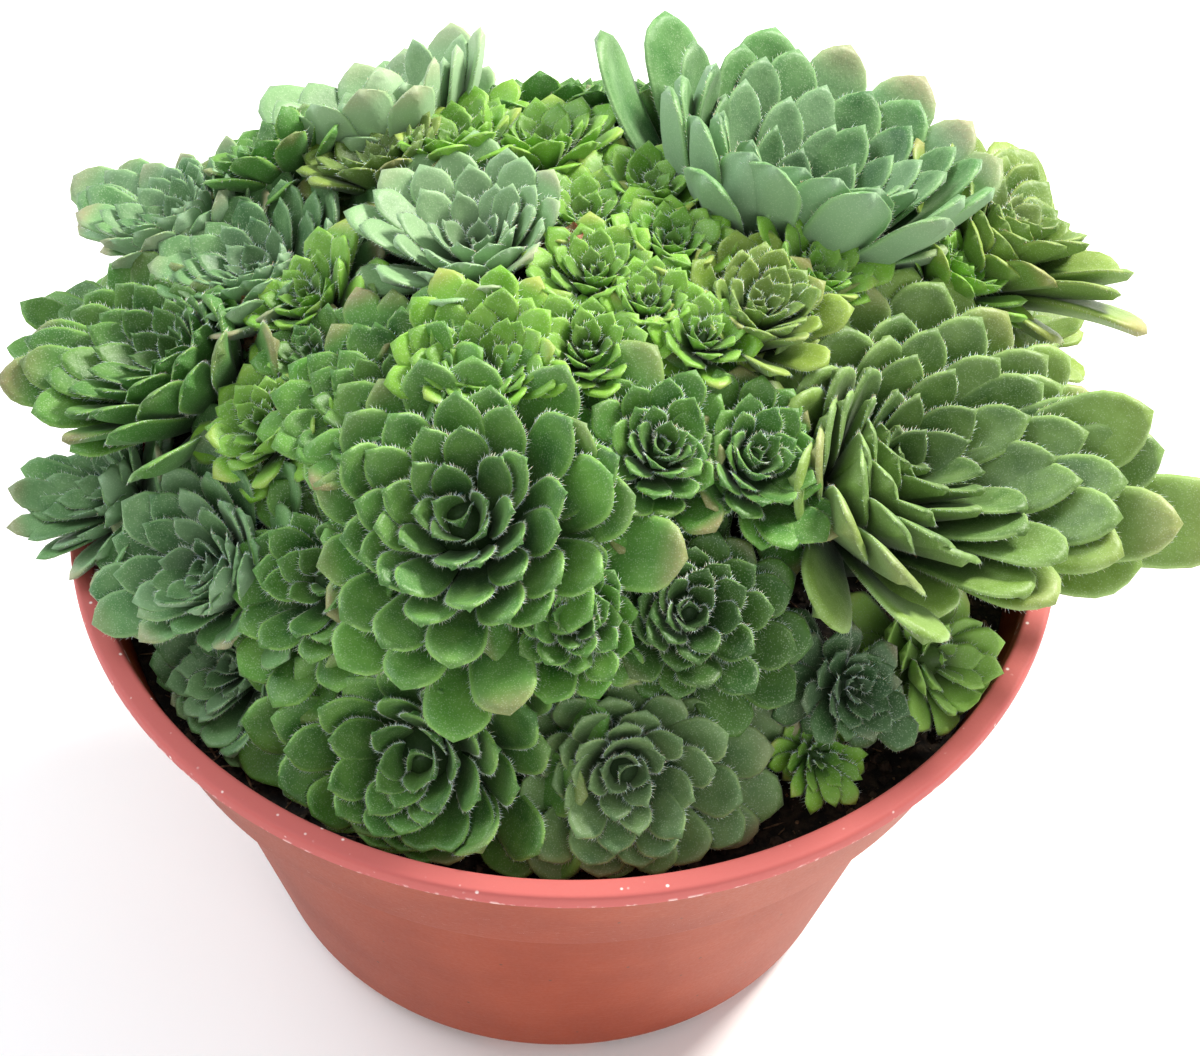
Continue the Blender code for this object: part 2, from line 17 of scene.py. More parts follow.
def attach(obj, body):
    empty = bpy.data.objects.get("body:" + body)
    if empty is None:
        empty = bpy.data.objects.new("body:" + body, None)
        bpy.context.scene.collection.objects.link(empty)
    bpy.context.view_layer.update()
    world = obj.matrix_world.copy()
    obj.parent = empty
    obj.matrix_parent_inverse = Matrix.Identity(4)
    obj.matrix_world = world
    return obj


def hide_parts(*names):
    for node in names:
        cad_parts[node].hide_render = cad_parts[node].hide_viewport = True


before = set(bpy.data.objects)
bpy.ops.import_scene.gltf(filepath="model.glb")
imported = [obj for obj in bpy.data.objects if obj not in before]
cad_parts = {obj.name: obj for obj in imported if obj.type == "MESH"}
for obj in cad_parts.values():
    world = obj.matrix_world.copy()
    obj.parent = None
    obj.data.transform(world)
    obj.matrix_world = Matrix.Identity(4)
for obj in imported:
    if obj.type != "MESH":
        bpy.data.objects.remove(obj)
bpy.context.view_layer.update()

LOG = logging.getLogger("potted_rosularia")
BODY = "root"
MM = 0.001
SEED = 41
Colour = tuple[float, float, float]
Profile = list[tuple[float, float]]

# Angles in radians, lengths in millimetres
GOLDEN_ANGLE = math.radians(137.508)
LEAF_TURN = math.radians(10.0)
ROOT_POINT = np.array((2.0, 6.0, 45.0))
POT_HEIGHT = 97.0
RIM_RADIUS = 90.0
RIM_INNER = 86.0
SOIL_TOP = 84.0
SOIL_CROWN = 1.5
SOIL_HEAD = 2.3
WALL_AT_SOIL = 81.5
FOOT_SINK = 0.8

# The corners of a hair's foot, as shares of its radius
HAIR_SECTION = ((1, 0, 0), (-0.5, 0.9, 0), (-0.5, -0.5, 0.8))

# What the leaf materials read at each point of a mesh
LEAF_VALUES = ("leaf_along", "leaf_edge", "leaf_age", "leaf_whim", "leaf_under", "leaf_tone")


class Value:
    """An output socket that works in Python expressions; each operator adds a Math node."""

    def __init__(self, paint: "Paint", socket: bpy.types.NodeSocket) -> None:
        """Keeps the socket and the material that it belongs to.

        Args:
            paint: the material being built.
            socket: the output socket.
        """
        self.paint = paint
        self.socket = socket

    def math(self, operation: str, first: "Value | float", second: "Value | float") -> "Value":
        """Adds a Math node with two operands."""
        return self.paint.node("ShaderNodeMath", {"operation": operation}, {0: first, 1: second})

    def __add__(self, other: "Value | float") -> "Value":
        """Adds on the right."""
        return self.math("ADD", self, other)

    def __radd__(self, other: float) -> "Value":
        """Adds on the left."""
        return self.math("ADD", other, self)

    def __sub__(self, other: "Value | float") -> "Value":
        """Takes the other away."""
        return self.math("SUBTRACT", self, other)

    def __rsub__(self, other: float) -> "Value":
        """Takes this away from the other."""
        return self.math("SUBTRACT", other, self)

    def __mul__(self, other: "Value | float") -> "Value":
        """Multiplies on the right."""
        return self.math("MULTIPLY", self, other)

    def __rmul__(self, other: float) -> "Value":
        """Multiplies on the left."""
        return self.math("MULTIPLY", other, self)

    def ramp(self, low: float, high: float) -> "Value":
        """A smooth step from 0 at low to 1 at high, or the other way round if low is above high.

        Args:
            low: where the step starts.
            high: where the step ends.

        Returns:
            The step's value.
        """
        start, end = (0.0, 1.0) if low < high else (1.0, 0.0)
        ends = {"From Min": min(low, high), "From Max": max(low, high), "To Min": start, "To Max": end}
        return self.paint.node(
            "ShaderNodeMapRange", {"interpolation_type": "SMOOTHSTEP"}, {"Value": self, **ends}
        )


class Paint:
    """Builds one Principled material from expressions."""

    def __init__(self, name: str) -> None:
        """Makes the material.

        Args:
            name: the material's name.
        """
        self.material = bpy.data.materials.new(name)
        self.material.use_nodes = True
        self.tree = self.material.node_tree
        self.shader = self.tree.nodes["Principled BSDF"]

    def node(self, kind: str, settings: dict, inputs: dict, output: int | str = 0) -> Value:
        """Adds any node: its settings first, then its sockets.

        Args:
            kind: the node's type.
            settings: the node's own settings.
            inputs: a value or a link for each socket, by name or number.
            output: the output that is wanted.

        Returns:
            The wanted output.
        """
        made = self.tree.nodes.new(kind)
        for key, value in settings.items():
            setattr(made, key, value)
        for key, value in inputs.items():
            if isinstance(value, Value):
                self.tree.links.new(value.socket, made.inputs[key])
            else:
                made.inputs[key].default_value = value
        return Value(self, made.outputs[output])

    def attribute(self, name: str) -> Value:
        """Reads a number that the mesh carries at each point."""
        return self.node("ShaderNodeAttribute", {"attribute_name": name}, {}, "Fac")

    def place(self) -> Value:
        """The point in the part's own frame, in metres."""
        return self.node("ShaderNodeTexCoord", {}, {}, "Object")

    def height(self) -> Value:
        """The point's height in the part's own frame, in metres."""
        return self.node("ShaderNodeSeparateXYZ", {}, {0: self.place()}, "Z")

    def noise(self, size: float, detail: float = 2.0, stretch: tuple = (1.0, 1.0, 1.0)) -> Value:
        """Noise with patches of a given size.

        Args:
            size: the patches' size in millimetres.
            detail: how many finer layers are added.
            stretch: how much the patches are squeezed along each axis.

        Returns:
            The noise, about 0.5 in the middle.
        """
        spot = self.node("ShaderNodeMapping", {}, {"Vector": self.place(), "Scale": stretch})
        sockets = {"Vector": spot, "Scale": 1.0 / (size * MM), "Detail": detail, "Roughness": 0.55}
        return self.node("ShaderNodeTexNoise", {}, sockets)

    def specks(self, spacing: float) -> Value:
        """Distance from the nearest of many scattered points, as a share of their spacing."""
        sockets = {"Vector": self.place(), "Scale": 1.0 / (spacing * MM)}
        return self.node("ShaderNodeTexVoronoi", {}, sockets)

    def mix(self, share: Value | float, first: Value | Colour, second: Value | Colour) -> Value:
        """Blends two colours; share is how much of the second one there is."""
        sockets = {0: share, 6: self.solid(first), 7: self.solid(second)}
        return self.node("ShaderNodeMix", {"data_type": "RGBA"}, sockets, 2)

    def solid(self, colour: Value | Colour) -> Value | tuple:
        """Gives a plain colour its alpha and leaves a linked one alone."""
        return colour if isinstance(colour, Value) else (*colour, 1.0)

    def link(self, socket: str, value: Value) -> None:
        """Feeds one of the shader's sockets."""
        self.tree.links.new(value.socket, self.shader.inputs[socket])

    def bump(self, height: Value, depth: float, strength: float) -> None:
        """Raises the surface by a value from 0 to 1; 1 stands as high as depth, in millimetres."""
        sockets = {"Strength": strength, "Distance": depth * MM, "Height": height}
        self.link("Normal", self.node("ShaderNodeBump", {}, sockets))

    def constants(self, values: dict[str, float | tuple]) -> None:
        """Sets the shader's own sockets."""
        for socket, value in values.items():
            self.shader.inputs[socket].default_value = value


class Finish:
    """A surface's finish. Colours are linear."""

    name: str

    def material(self) -> bpy.types.Material:
        """Builds the finish's material.

        Returns:
            The material.
        """
        paint = Paint(self.name)
        self.apply(paint)
        return paint.material

    def apply(self, paint: Paint) -> None:
        """Feeds the material's shader; each finish has its own way."""
        raise NotImplementedError


@dataclass(frozen=True)
class LeafFinish(Finish):
    """The finish of one kind of leaf."""

    name: str
    heart: Colour
    blade: Colour
    under: Colour
    margin: Colour
    blush: Colour
    # A pale colour that paints highlight over rosettes whose painted lighting is above 0
    pale: Colour = (0.42, 0.60, 0.33)
    # A near-black colour that paints shade at the leaves' bases, in the bud and over darker rosettes
    painted_shade: Colour = (0.006, 0.022, 0.004)
    fuzz: Colour = (0.62, 0.74, 0.50)

    def apply(self, paint: Paint) -> None:
        """Colours the leaf from heart to tip, with a pale margin, warm ends, fuzz, and painted shade and
        highlight.

        Args:
            paint: the material that is painted.
        """
        along, edge, age, whim, under, tone = (paint.attribute(name) for name in LEAF_VALUES)
        patches = paint.noise(7.0, 3.0)
        grain = paint.noise(0.9, 2.0)
        old = (1.0 - age).ramp(0.55, 1.0)
        # The dark heart colour is partly the inner leaves' own deeper green and partly painted shade deep in
        # the rosette
        face = paint.mix(along.ramp(0.25, 0.95) * (0.35 + 0.65 * old), self.heart, self.blade)
        face = paint.mix((patches - 0.5) * 1.1 + 0.22, face, self.margin)
        face = paint.mix(under.ramp(0.2, 0.8) * 0.85, face, self.under)
        face = paint.mix(whim.ramp(0.5, 1.0) * 0.35, face, self.under)
        rim = edge.ramp(0.80, 0.985) * along.ramp(0.2, 0.6)
        face = paint.mix(rim * 0.62, face, self.margin)
        warm = whim.ramp(0.45, 0.9) * old * along.ramp(0.80, 1.0)
        face = paint.mix(warm * (0.35 + 0.5 * grain), face, self.blush)
        # Painted lighting over the whole rosette: painted highlight above 0, painted shade below 0
        face = paint.mix(tone.ramp(0.0, 1.0), face, self.pale)
        face = paint.mix(tone.ramp(0.0, -1.0), face, self.painted_shade)
        dots = paint.specks(0.36).ramp(0.45, 0.15) * grain.ramp(0.25, 0.60)
        face = paint.mix(dots * 0.26, face, self.fuzz)
        # Painted shade at the leaf's base, where the leaves above hide it
        depth = (1.0 - along.ramp(0.15, 0.70)) * 0.74
        face = paint.mix(depth, face, self.painted_shade)
        # Painted shade in the bud, on the upper faces of the innermost leaves
        face = paint.mix(age.ramp(0.72, 1.0) * (1.0 - under) * 0.38, face, self.painted_shade)
        paint.link("Base Color", face)
        paint.link("Roughness", 0.40 + 0.24 * grain + 0.10 * under)
        paint.bump(grain, 0.16, 0.5)
        paint.constants({
            "Specular IOR Level": 0.42,
            "Sheen Weight": 0.12,
            "Sheen Roughness": 0.35,
            "Sheen Tint": (0.88, 0.95, 0.82, 1.0),
        })


@dataclass(frozen=True)
class HairFinish(Finish):
    """The fine pale hairs along the leaf margins."""

    name: str = "leaf_hair"
    colour: Colour = (0.62, 0.70, 0.50)
    light: Colour = (0.80, 0.84, 0.74)

    def apply(self, paint: Paint) -> None:
        """Varies the hairs between two pale colours.

        Args:
            paint: the material that is painted.
        """
        share = paint.noise(3.0, 1.0).ramp(0.35, 0.65)
        paint.link("Base Color", paint.mix(share, self.colour, self.light))
        paint.link("Roughness", 0.35 + 0.2 * paint.noise(1.0))
        paint.constants({"Subsurface Weight": 0.3, "Subsurface Scale": 0.0005, "Specular IOR Level": 0.4})


@dataclass(frozen=True)
class DryFinish(Finish):
    """Papery dead leaves."""

    name: str = "leaf_dry"
    pale: Colour = (0.56, 0.33, 0.19)
    dark: Colour = (0.20, 0.085, 0.040)

    def apply(self, paint: Paint) -> None:
        """Streaks the dead leaves and darkens their ends.

        Args:
            paint: the material that is painted.
        """
        along = paint.attribute("leaf_along")
        streaks = paint.noise(1.6, 4.0)
        face = paint.mix(streaks.ramp(0.35, 0.65), self.dark, self.pale)
        face = paint.mix(along.ramp(0.75, 1.0) * 0.6, face, self.dark)
        paint.link("Base Color", face)
        paint.link("Roughness", 0.6 + 0.3 * streaks)
        paint.bump(streaks, 0.5, 0.8)
        paint.constants({"Subsurface Weight": 0.15, "Subsurface Scale": 0.001, "Specular IOR Level": 0.25})


@dataclass(frozen=True)
class PotFinish(Finish):
    """Worn terracotta-coloured plastic; its paler, rosier lip is partly dust and partly painted light."""

    name: str = "pot_plastic"
    wall: Colour = (0.32, 0.046, 0.009)
    deep: Colour = (0.22, 0.027, 0.006)
    # The lip colour is partly dust and partly painted light falling on the lip's top
    lip: Colour = (0.53, 0.118, 0.108)
    nick: Colour = (0.90, 0.74, 0.70)
    streak: Colour = (0.54, 0.17, 0.08)
    dirt: Colour = (0.05, 0.03, 0.02)

    def apply(self, paint: Paint) -> None:
        """Clouds and scratches the plastic, and wears its lip.

        Args:
            paint: the material that is painted.
        """
        height = paint.height()
        cloud = paint.noise(22.0, 3.0)
        fine = paint.noise(0.7, 3.0)
        streaks = paint.noise(5.0, 3.0, (1.0, 1.0, 9.0))
        lip = height.ramp(0.0925, 0.0942)
        face = paint.mix(cloud.ramp(0.3, 0.75) * 0.55, self.wall, self.deep)
        face = paint.mix(streaks.ramp(0.55, 0.85) * 0.25, face, self.streak)
        # Painted light, partly dust: the lip is paler and rosier than the wall
        face = paint.mix(lip * 0.92, face, self.lip)
        scratch = paint.noise(2.6, 4.0, (1.0, 1.0, 22.0)).ramp(0.66, 0.73)
        band = height.ramp(0.064, 0.071) * height.ramp(0.090, 0.078)
        face = paint.mix(scratch * band * cloud.ramp(0.45, 0.60) * 0.55, face, self.nick)
        chips = paint.specks(2.4).ramp(0.17, 0.07) * paint.noise(4.0, 1.0).ramp(0.48, 0.60)
        face = paint.mix(chips * lip * 0.9, face, self.nick)
        edge = height.ramp(0.0930, 0.0940) * height.ramp(0.0952, 0.0943)
        worn = paint.noise(2.4, 3.0).ramp(0.54, 0.66)
        face = paint.mix(edge * worn * 0.75, face, self.nick)
        dirt = paint.specks(7.5).ramp(0.050, 0.030) * (1.0 - lip)
        face = paint.mix(dirt * 0.8, face, self.dirt)
        paint.link("Base Color", face)
        paint.link("Roughness", 0.40 + 0.20 * fine + 0.12 * lip + 0.10 * cloud)
        paint.bump(fine * 0.5 + streaks * 0.5 + scratch * band * 0.5, 0.16, 0.35)
        paint.constants({"Subsurface Weight": 0.04, "Subsurface Scale": 0.001, "Specular IOR Level": 0.38})


@dataclass(frozen=True)
class SoilFinish(Finish):
    """Dark, damp potting mix."""

    name: str
    dark: Colour
    crumb: Colour
    grit: Colour

    def apply(self, paint: Paint) -> None:
        """Mixes dark clods with crumbs and grit.

        Args:
            paint: the material that is painted.
        """
        clods = paint.noise(2.2, 5.0)
        face = paint.mix(clods.ramp(0.42, 0.68), self.dark, self.crumb)
        grit = paint.specks(1.1).ramp(0.22, 0.10) * paint.noise(3.0, 1.0).ramp(0.50, 0.60)
        face = paint.mix(grit * 0.8, face, self.grit)
        paint.link("Base Color", face)
        paint.link("Roughness", 0.75 + 0.2 * clods)
        paint.bump(clods + 0.5 * grit, 1.2, 0.9)
        paint.constants({"Specular IOR Level": 0.3})


@dataclass(frozen=True)
class FloorFinish(Finish):
    """The studio's plain pale floor."""

    name: str = "studio_floor"
    colour: Colour = (0.97, 0.975, 0.975)

    def apply(self, paint: Paint) -> None:
        """Gives the floor one plain colour."""
        paint.constants({"Base Color": (*self.colour, 1.0), "Roughness": 0.85})


class Tint(Enum):
    """The kinds of leaf, each with its finish."""

    MID = LeafFinish(
        "leaf_mid", (0.008, 0.062, 0.006), (0.060, 0.215, 0.014), (0.085, 0.240, 0.045),
        (0.250, 0.480, 0.090), (0.36, 0.22, 0.13))
    GREY = LeafFinish(
        "leaf_grey", (0.020, 0.070, 0.018), (0.085, 0.190, 0.040), (0.130, 0.240, 0.085),
        (0.290, 0.430, 0.150), (0.36, 0.24, 0.16))
    BRIGHT = LeafFinish(
        "leaf_bright", (0.030, 0.135, 0.003), (0.145, 0.370, 0.012), (0.190, 0.400, 0.045),
        (0.370, 0.620, 0.110), (0.42, 0.38, 0.10), (0.42, 0.66, 0.16))
    TEAL = LeafFinish(
        "leaf_teal", (0.010, 0.066, 0.018), (0.064, 0.210, 0.038), (0.290, 0.450, 0.260),
        (0.290, 0.500, 0.200), (0.42, 0.27, 0.18))
    RIPE = LeafFinish(
        "leaf_ripe", (0.008, 0.070, 0.018), (0.155, 0.262, 0.028), (0.180, 0.290, 0.072),
        (0.330, 0.500, 0.150), (0.46, 0.33, 0.16), (0.50, 0.58, 0.26))
    OLIVE = LeafFinish(
        "leaf_olive", (0.030, 0.110, 0.008), (0.190, 0.300, 0.020), (0.190, 0.310, 0.070),
        (0.400, 0.520, 0.130), (0.44, 0.29, 0.14), (0.52, 0.58, 0.16))


class Detail(Enum):
    """How finely a leaf is made: stations along it, cells across it, hairs on each side."""

    FINE = (11, 8, 36)
    MIDDLE = (9, 6, 23)
    PLAIN = (8, 4, 13)

    @classmethod
    def suited(cls, radius: int) -> "Detail":
        """The detail for a rosette of a given radius in millimetres."""
        return cls.FINE if radius >= 30 else cls.MIDDLE if radius >= 15 else cls.PLAIN


class Skin(IntEnum):
    """The order of the materials on a rosette."""

    LEAF = 0
    HAIR = 1
    DRY = 2


def add_mesh(name: str, points: np.ndarray, faces: list, materials: list, slots: list | None = None,
             numbers: dict | None = None, smooth: bool = True) -> bpy.types.Object:
    """Makes one mesh object from points in millimetres.

    Args:
        name: the object's name.
        points: the points.
        faces: each face's point numbers.
        materials: the materials.
        slots: each face's material number.
        numbers: values that each point carries, by name.
        smooth: whether the faces are shaded smooth.

    Returns:
        The object.
    """
    mesh = bpy.data.meshes.new(name)
    mesh.from_pydata((points * MM).tolist(), [], faces)
    for material in materials:
        mesh.materials.append(material)
    if slots is not None:
        mesh.polygons.foreach_set("material_index", np.asarray(slots, dtype=np.int32))
    for key, values in (numbers or {}).items():
        layer = mesh.attributes.new(key, "FLOAT", "POINT")
        layer.data.foreach_set("value", np.asarray(values, dtype=np.float32))
    if smooth:
        mesh.shade_smooth()
    mesh.update()
    made = bpy.data.objects.new(name, mesh)
    bpy.context.scene.collection.objects.link(made)
    return made


def unit(vector: np.ndarray) -> np.ndarray:
    """Scales a vector to length one."""
    return vector / np.linalg.norm(vector)


def turn_profile(profile: Profile, segments: int) -> tuple[list, list]:
    """Turns a profile round the upright axis.

    Args:
        profile: radius and height of each point.
        segments: how many steps go round.

    Returns:
        The points, and for each step its strip of faces up to the next step.
    """
    size = len(profile)
    points, strips = [], []
    for step in range(segments):
        turn = math.tau * step / segments
        points.extend((out * math.cos(turn), out * math.sin(turn), height) for out, height in profile)
        here, there = step * size, (step + 1) % segments * size
        edges = range(size - 1)
        strips.append([(here + edge, there + edge, there + edge + 1, here + edge + 1) for edge in edges])
    return points, strips


def soft_limit(value: np.ndarray, limit: np.ndarray, sharpness: float) -> np.ndarray:
    """Keeps values under a limit; the sharper it is, the closer they come before they bend."""
    return value / (1.0 + (value / limit) ** sharpness) ** (1.0 / sharpness)


@dataclass(frozen=True)
class Place:
    """Where one rosette lies, seen from the root point, and what it is like.

    Azimuth, elevation and opening are in degrees, reach and radius in millimetres. Opening is the
    outer leaves' angle above a level plate. A tucked rosette lies inside the pot's rim. Lean is how
    far the rosette faces up: 0 along its spine, 1 straight up. Dry gives the directions of its dead
    leaves, in degrees round its own axis. Sprawl is how far its leaves may pass over its neighbours.
    Wide is how far its outer leaves go where nothing stops them, and far is the same for those on its
    low side, both as multiples of the radius. Its painted lighting mixes painted highlight into its
    leaves above 0 and painted shade below 0. Room is how much space it claims from its neighbours.
    Broad makes its leaves wider and fewer above 1. Turned is how far the leaves at its sides face the
    front, in radians. Cupped sinks its bud and turns up its outer leaves, like a bowl. Over_rim lets a
    tucked rosette's leaves also lie above the rim.
    """

    name: str
    azimuth: int
    elevation: int
    reach: int
    radius: int
    opening: int
    tint: Tint
    tucked: bool = False
    lean: float = 0.0
    dry: tuple[int, ...] = ()
    sprawl: float = 1.0
    far: float = 1.15
    wide: float = 1.15
    tone: float = 0.0
    room: float = 1.0
    broad: float = 1.0
    turned: float = 0.25
    cupped: float = 0.0
    over_rim: bool = False

    @property
    def spine(self) -> np.ndarray:
        """From the root point towards the bud.

        Returns:
            The direction, of length one.
        """
        rise = math.radians(self.elevation)
        turn = math.radians(self.azimuth)
        level = math.cos(rise)
        return np.array((level * math.cos(turn), level * math.sin(turn), math.sin(rise)))

    @property
    def axes(self) -> np.ndarray:
        """Two directions square to the spine, and the spine."""
        across = unit(np.cross((0.0, 0.0, 1.0), self.spine))
        return np.array((across, np.cross(self.spine, across), self.spine))

    @property
    def spread(self) -> float:
        """Half the angle that the rosette takes up, seen from the root point."""
        return math.atan2(self.radius * self.room, self.reach)


PLACES = (
    Place("front_tall", -111, 60, 110, 36, 8, Tint.MID, sprawl=1.45, tone=0.12),
    Place("front_left", -109, 37, 99, 33, 4, Tint.MID, True, tone=0.1, sprawl=1.45),
    Place("front_middle", -83, 38, 98, 24, 2, Tint.GREY, True, tone=0.15),
    Place("left_tall", -129, 50, 104, 22, 0, Tint.MID, sprawl=1.4),
    Place("bright_middle", -90, 53, 105, 16, 5, Tint.MID),
    Place("middle_low", -72, 53, 103, 22, 0, Tint.MID, tone=-0.5),
    Place("centre_right", -69, 68, 106, 18, 10, Tint.MID),
    Place("centre_right_dark", -49, 64, 105, 18, 12, Tint.MID),
    Place("right_big", -20, 53, 112, 50, 4, Tint.RIPE, lean=0.45, sprawl=1.05, far=1.07, wide=1.2,
          broad=1.12, turned=0.75, cupped=0.4),
    Place("dark_small", -51, 40, 100, 10, 8, Tint.TEAL, True, 0.4, tone=-0.55, room=0.9, broad=0.95),
    Place("lime_small", -35, 35, 97, 12, 8, Tint.BRIGHT, True, 0.6, far=1.0, wide=1.0, tone=0.45,
          room=1.5, broad=1.05, over_rim=True),
    Place("tiny", -57, 34, 94, 5, 10, Tint.BRIGHT, True, 0.7, broad=0.85),
    Place("bud_top", -123, 74, 107, 9, 25, Tint.BRIGHT, sprawl=1.3, far=1.8, wide=1.8),
    Place("bright_upper", -87, 79, 106, 12, 20, Tint.BRIGHT),
    Place("bright_a", -60, 88, 106, 11, 25, Tint.BRIGHT),
    Place("bright_b", -40, 82, 106, 9, 25, Tint.BRIGHT),
    Place("bright_c", 20, 81, 106, 11, 25, Tint.BRIGHT),
    Place("bright_d", -36, 76, 106, 9, 25, Tint.BRIGHT),
    Place("bright_e", 90, 83, 105, 10, 25, Tint.BRIGHT),
    Place("bright_f", 62, 76, 106, 10, 25, Tint.BRIGHT),
    Place("left_inner", -140, 66, 105, 10, 20, Tint.MID, sprawl=1.6, far=2.0, wide=2.0),
    Place("top_centre", 158, 79, 108, 18, 18, Tint.TEAL, lean=0.35, dry=(40, 75), tone=0.38, cupped=0.4),
    Place("left_small", 179, 63, 106, 12, 25, Tint.BRIGHT),
    Place("left_small_low", -156, 56, 106, 13, 15, Tint.BRIGHT),
    Place("left_big", 179, 47, 113, 31, 14, Tint.MID, lean=0.4, dry=(100,), far=1.3, tone=-0.25,
          turned=0.7, cupped=0.35),
    Place("left_rim_small", -171, 34, 105, 13, 10, Tint.TEAL, sprawl=1.35, far=1.35, wide=1.35,
          tone=0.12, cupped=0.25),
    Place("left_low", -148, 42, 102, 22, 14, Tint.TEAL, far=1.25, sprawl=1.25, wide=1.25),
    Place("left_lower", -141, 34, 93, 20, 10, Tint.TEAL, True, tone=0.15),
    Place("left_upper", 166, 55, 107, 20, 20, Tint.TEAL, lean=0.5, sprawl=1.3, far=1.5, wide=1.5),
    Place("left_back", 154, 43, 119, 23, 16, Tint.TEAL, lean=0.5, far=1.52, cupped=0.3),
    Place("back_left", 141, 50, 115, 14, 30, Tint.MID, sprawl=1.3, far=1.2, wide=1.2),
    Place("dark_group", -164, 63, 106, 12, 15, Tint.MID),
    Place("top_left", 126, 53, 113, 27, 24, Tint.TEAL, far=1.3, wide=1.3, tone=0.42, broad=1.2, cupped=0.55),
    Place("back_small_left", 136, 62, 109, 12, 30, Tint.OLIVE, sprawl=1.4, far=1.3, wide=1.3, tone=-0.35),
    Place("back_small_middle", 122, 65, 108, 12, 30, Tint.BRIGHT, sprawl=1.2, far=1.5, wide=1.5),
    Place("back_small_centre", 102, 69, 107, 13, 30, Tint.BRIGHT),
    Place("top_right_big", 42, 60, 117, 46, 8, Tint.TEAL, lean=0.3, sprawl=1.15, wide=1.05,
          broad=1.1, cupped=0.8),
    Place("upper_middle_right", -12, 73, 107, 18, 24, Tint.OLIVE, lean=0.5),
    Place("upper_right_small", 8, 67, 107, 11, 30, Tint.BRIGHT),
    Place("right_small", 18, 50, 112, 13, 30, Tint.BRIGHT),
    Place("right_upper", 24, 44, 124, 28, 14, Tint.OLIVE, lean=0.5, sprawl=1.15, far=1.35, wide=1.35,
          tone=-0.1, broad=1.2, turned=0.5),
    Place("far_left_back", 164, 36, 112, 18, 15, Tint.MID, far=1.52),
    Place("right_back", 50, 42, 112, 22, 15, Tint.TEAL, far=1.52),
    Place("back_right", 73, 50, 108, 21, 25, Tint.MID),
    Place("back_centre", 97, 53, 108, 19, 25, Tint.MID),
    Place("back_low_right", 72, 37, 106, 18, 5, Tint.BRIGHT),
    Place("back_low_centre", 94, 37, 106, 18, 5, Tint.TEAL),
    Place("back_low_left", 116, 38, 108, 19, 5, Tint.MID),
    Place("left_back_low", 139, 37, 110, 19, 5, Tint.TEAL),
    Place("right_low_back", 24, 36, 107, 14, 10, Tint.OLIVE, sprawl=1.3, far=1.6, wide=1.6),
    Place("right_low", 4, 36, 106, 14, 10, Tint.TEAL),
)


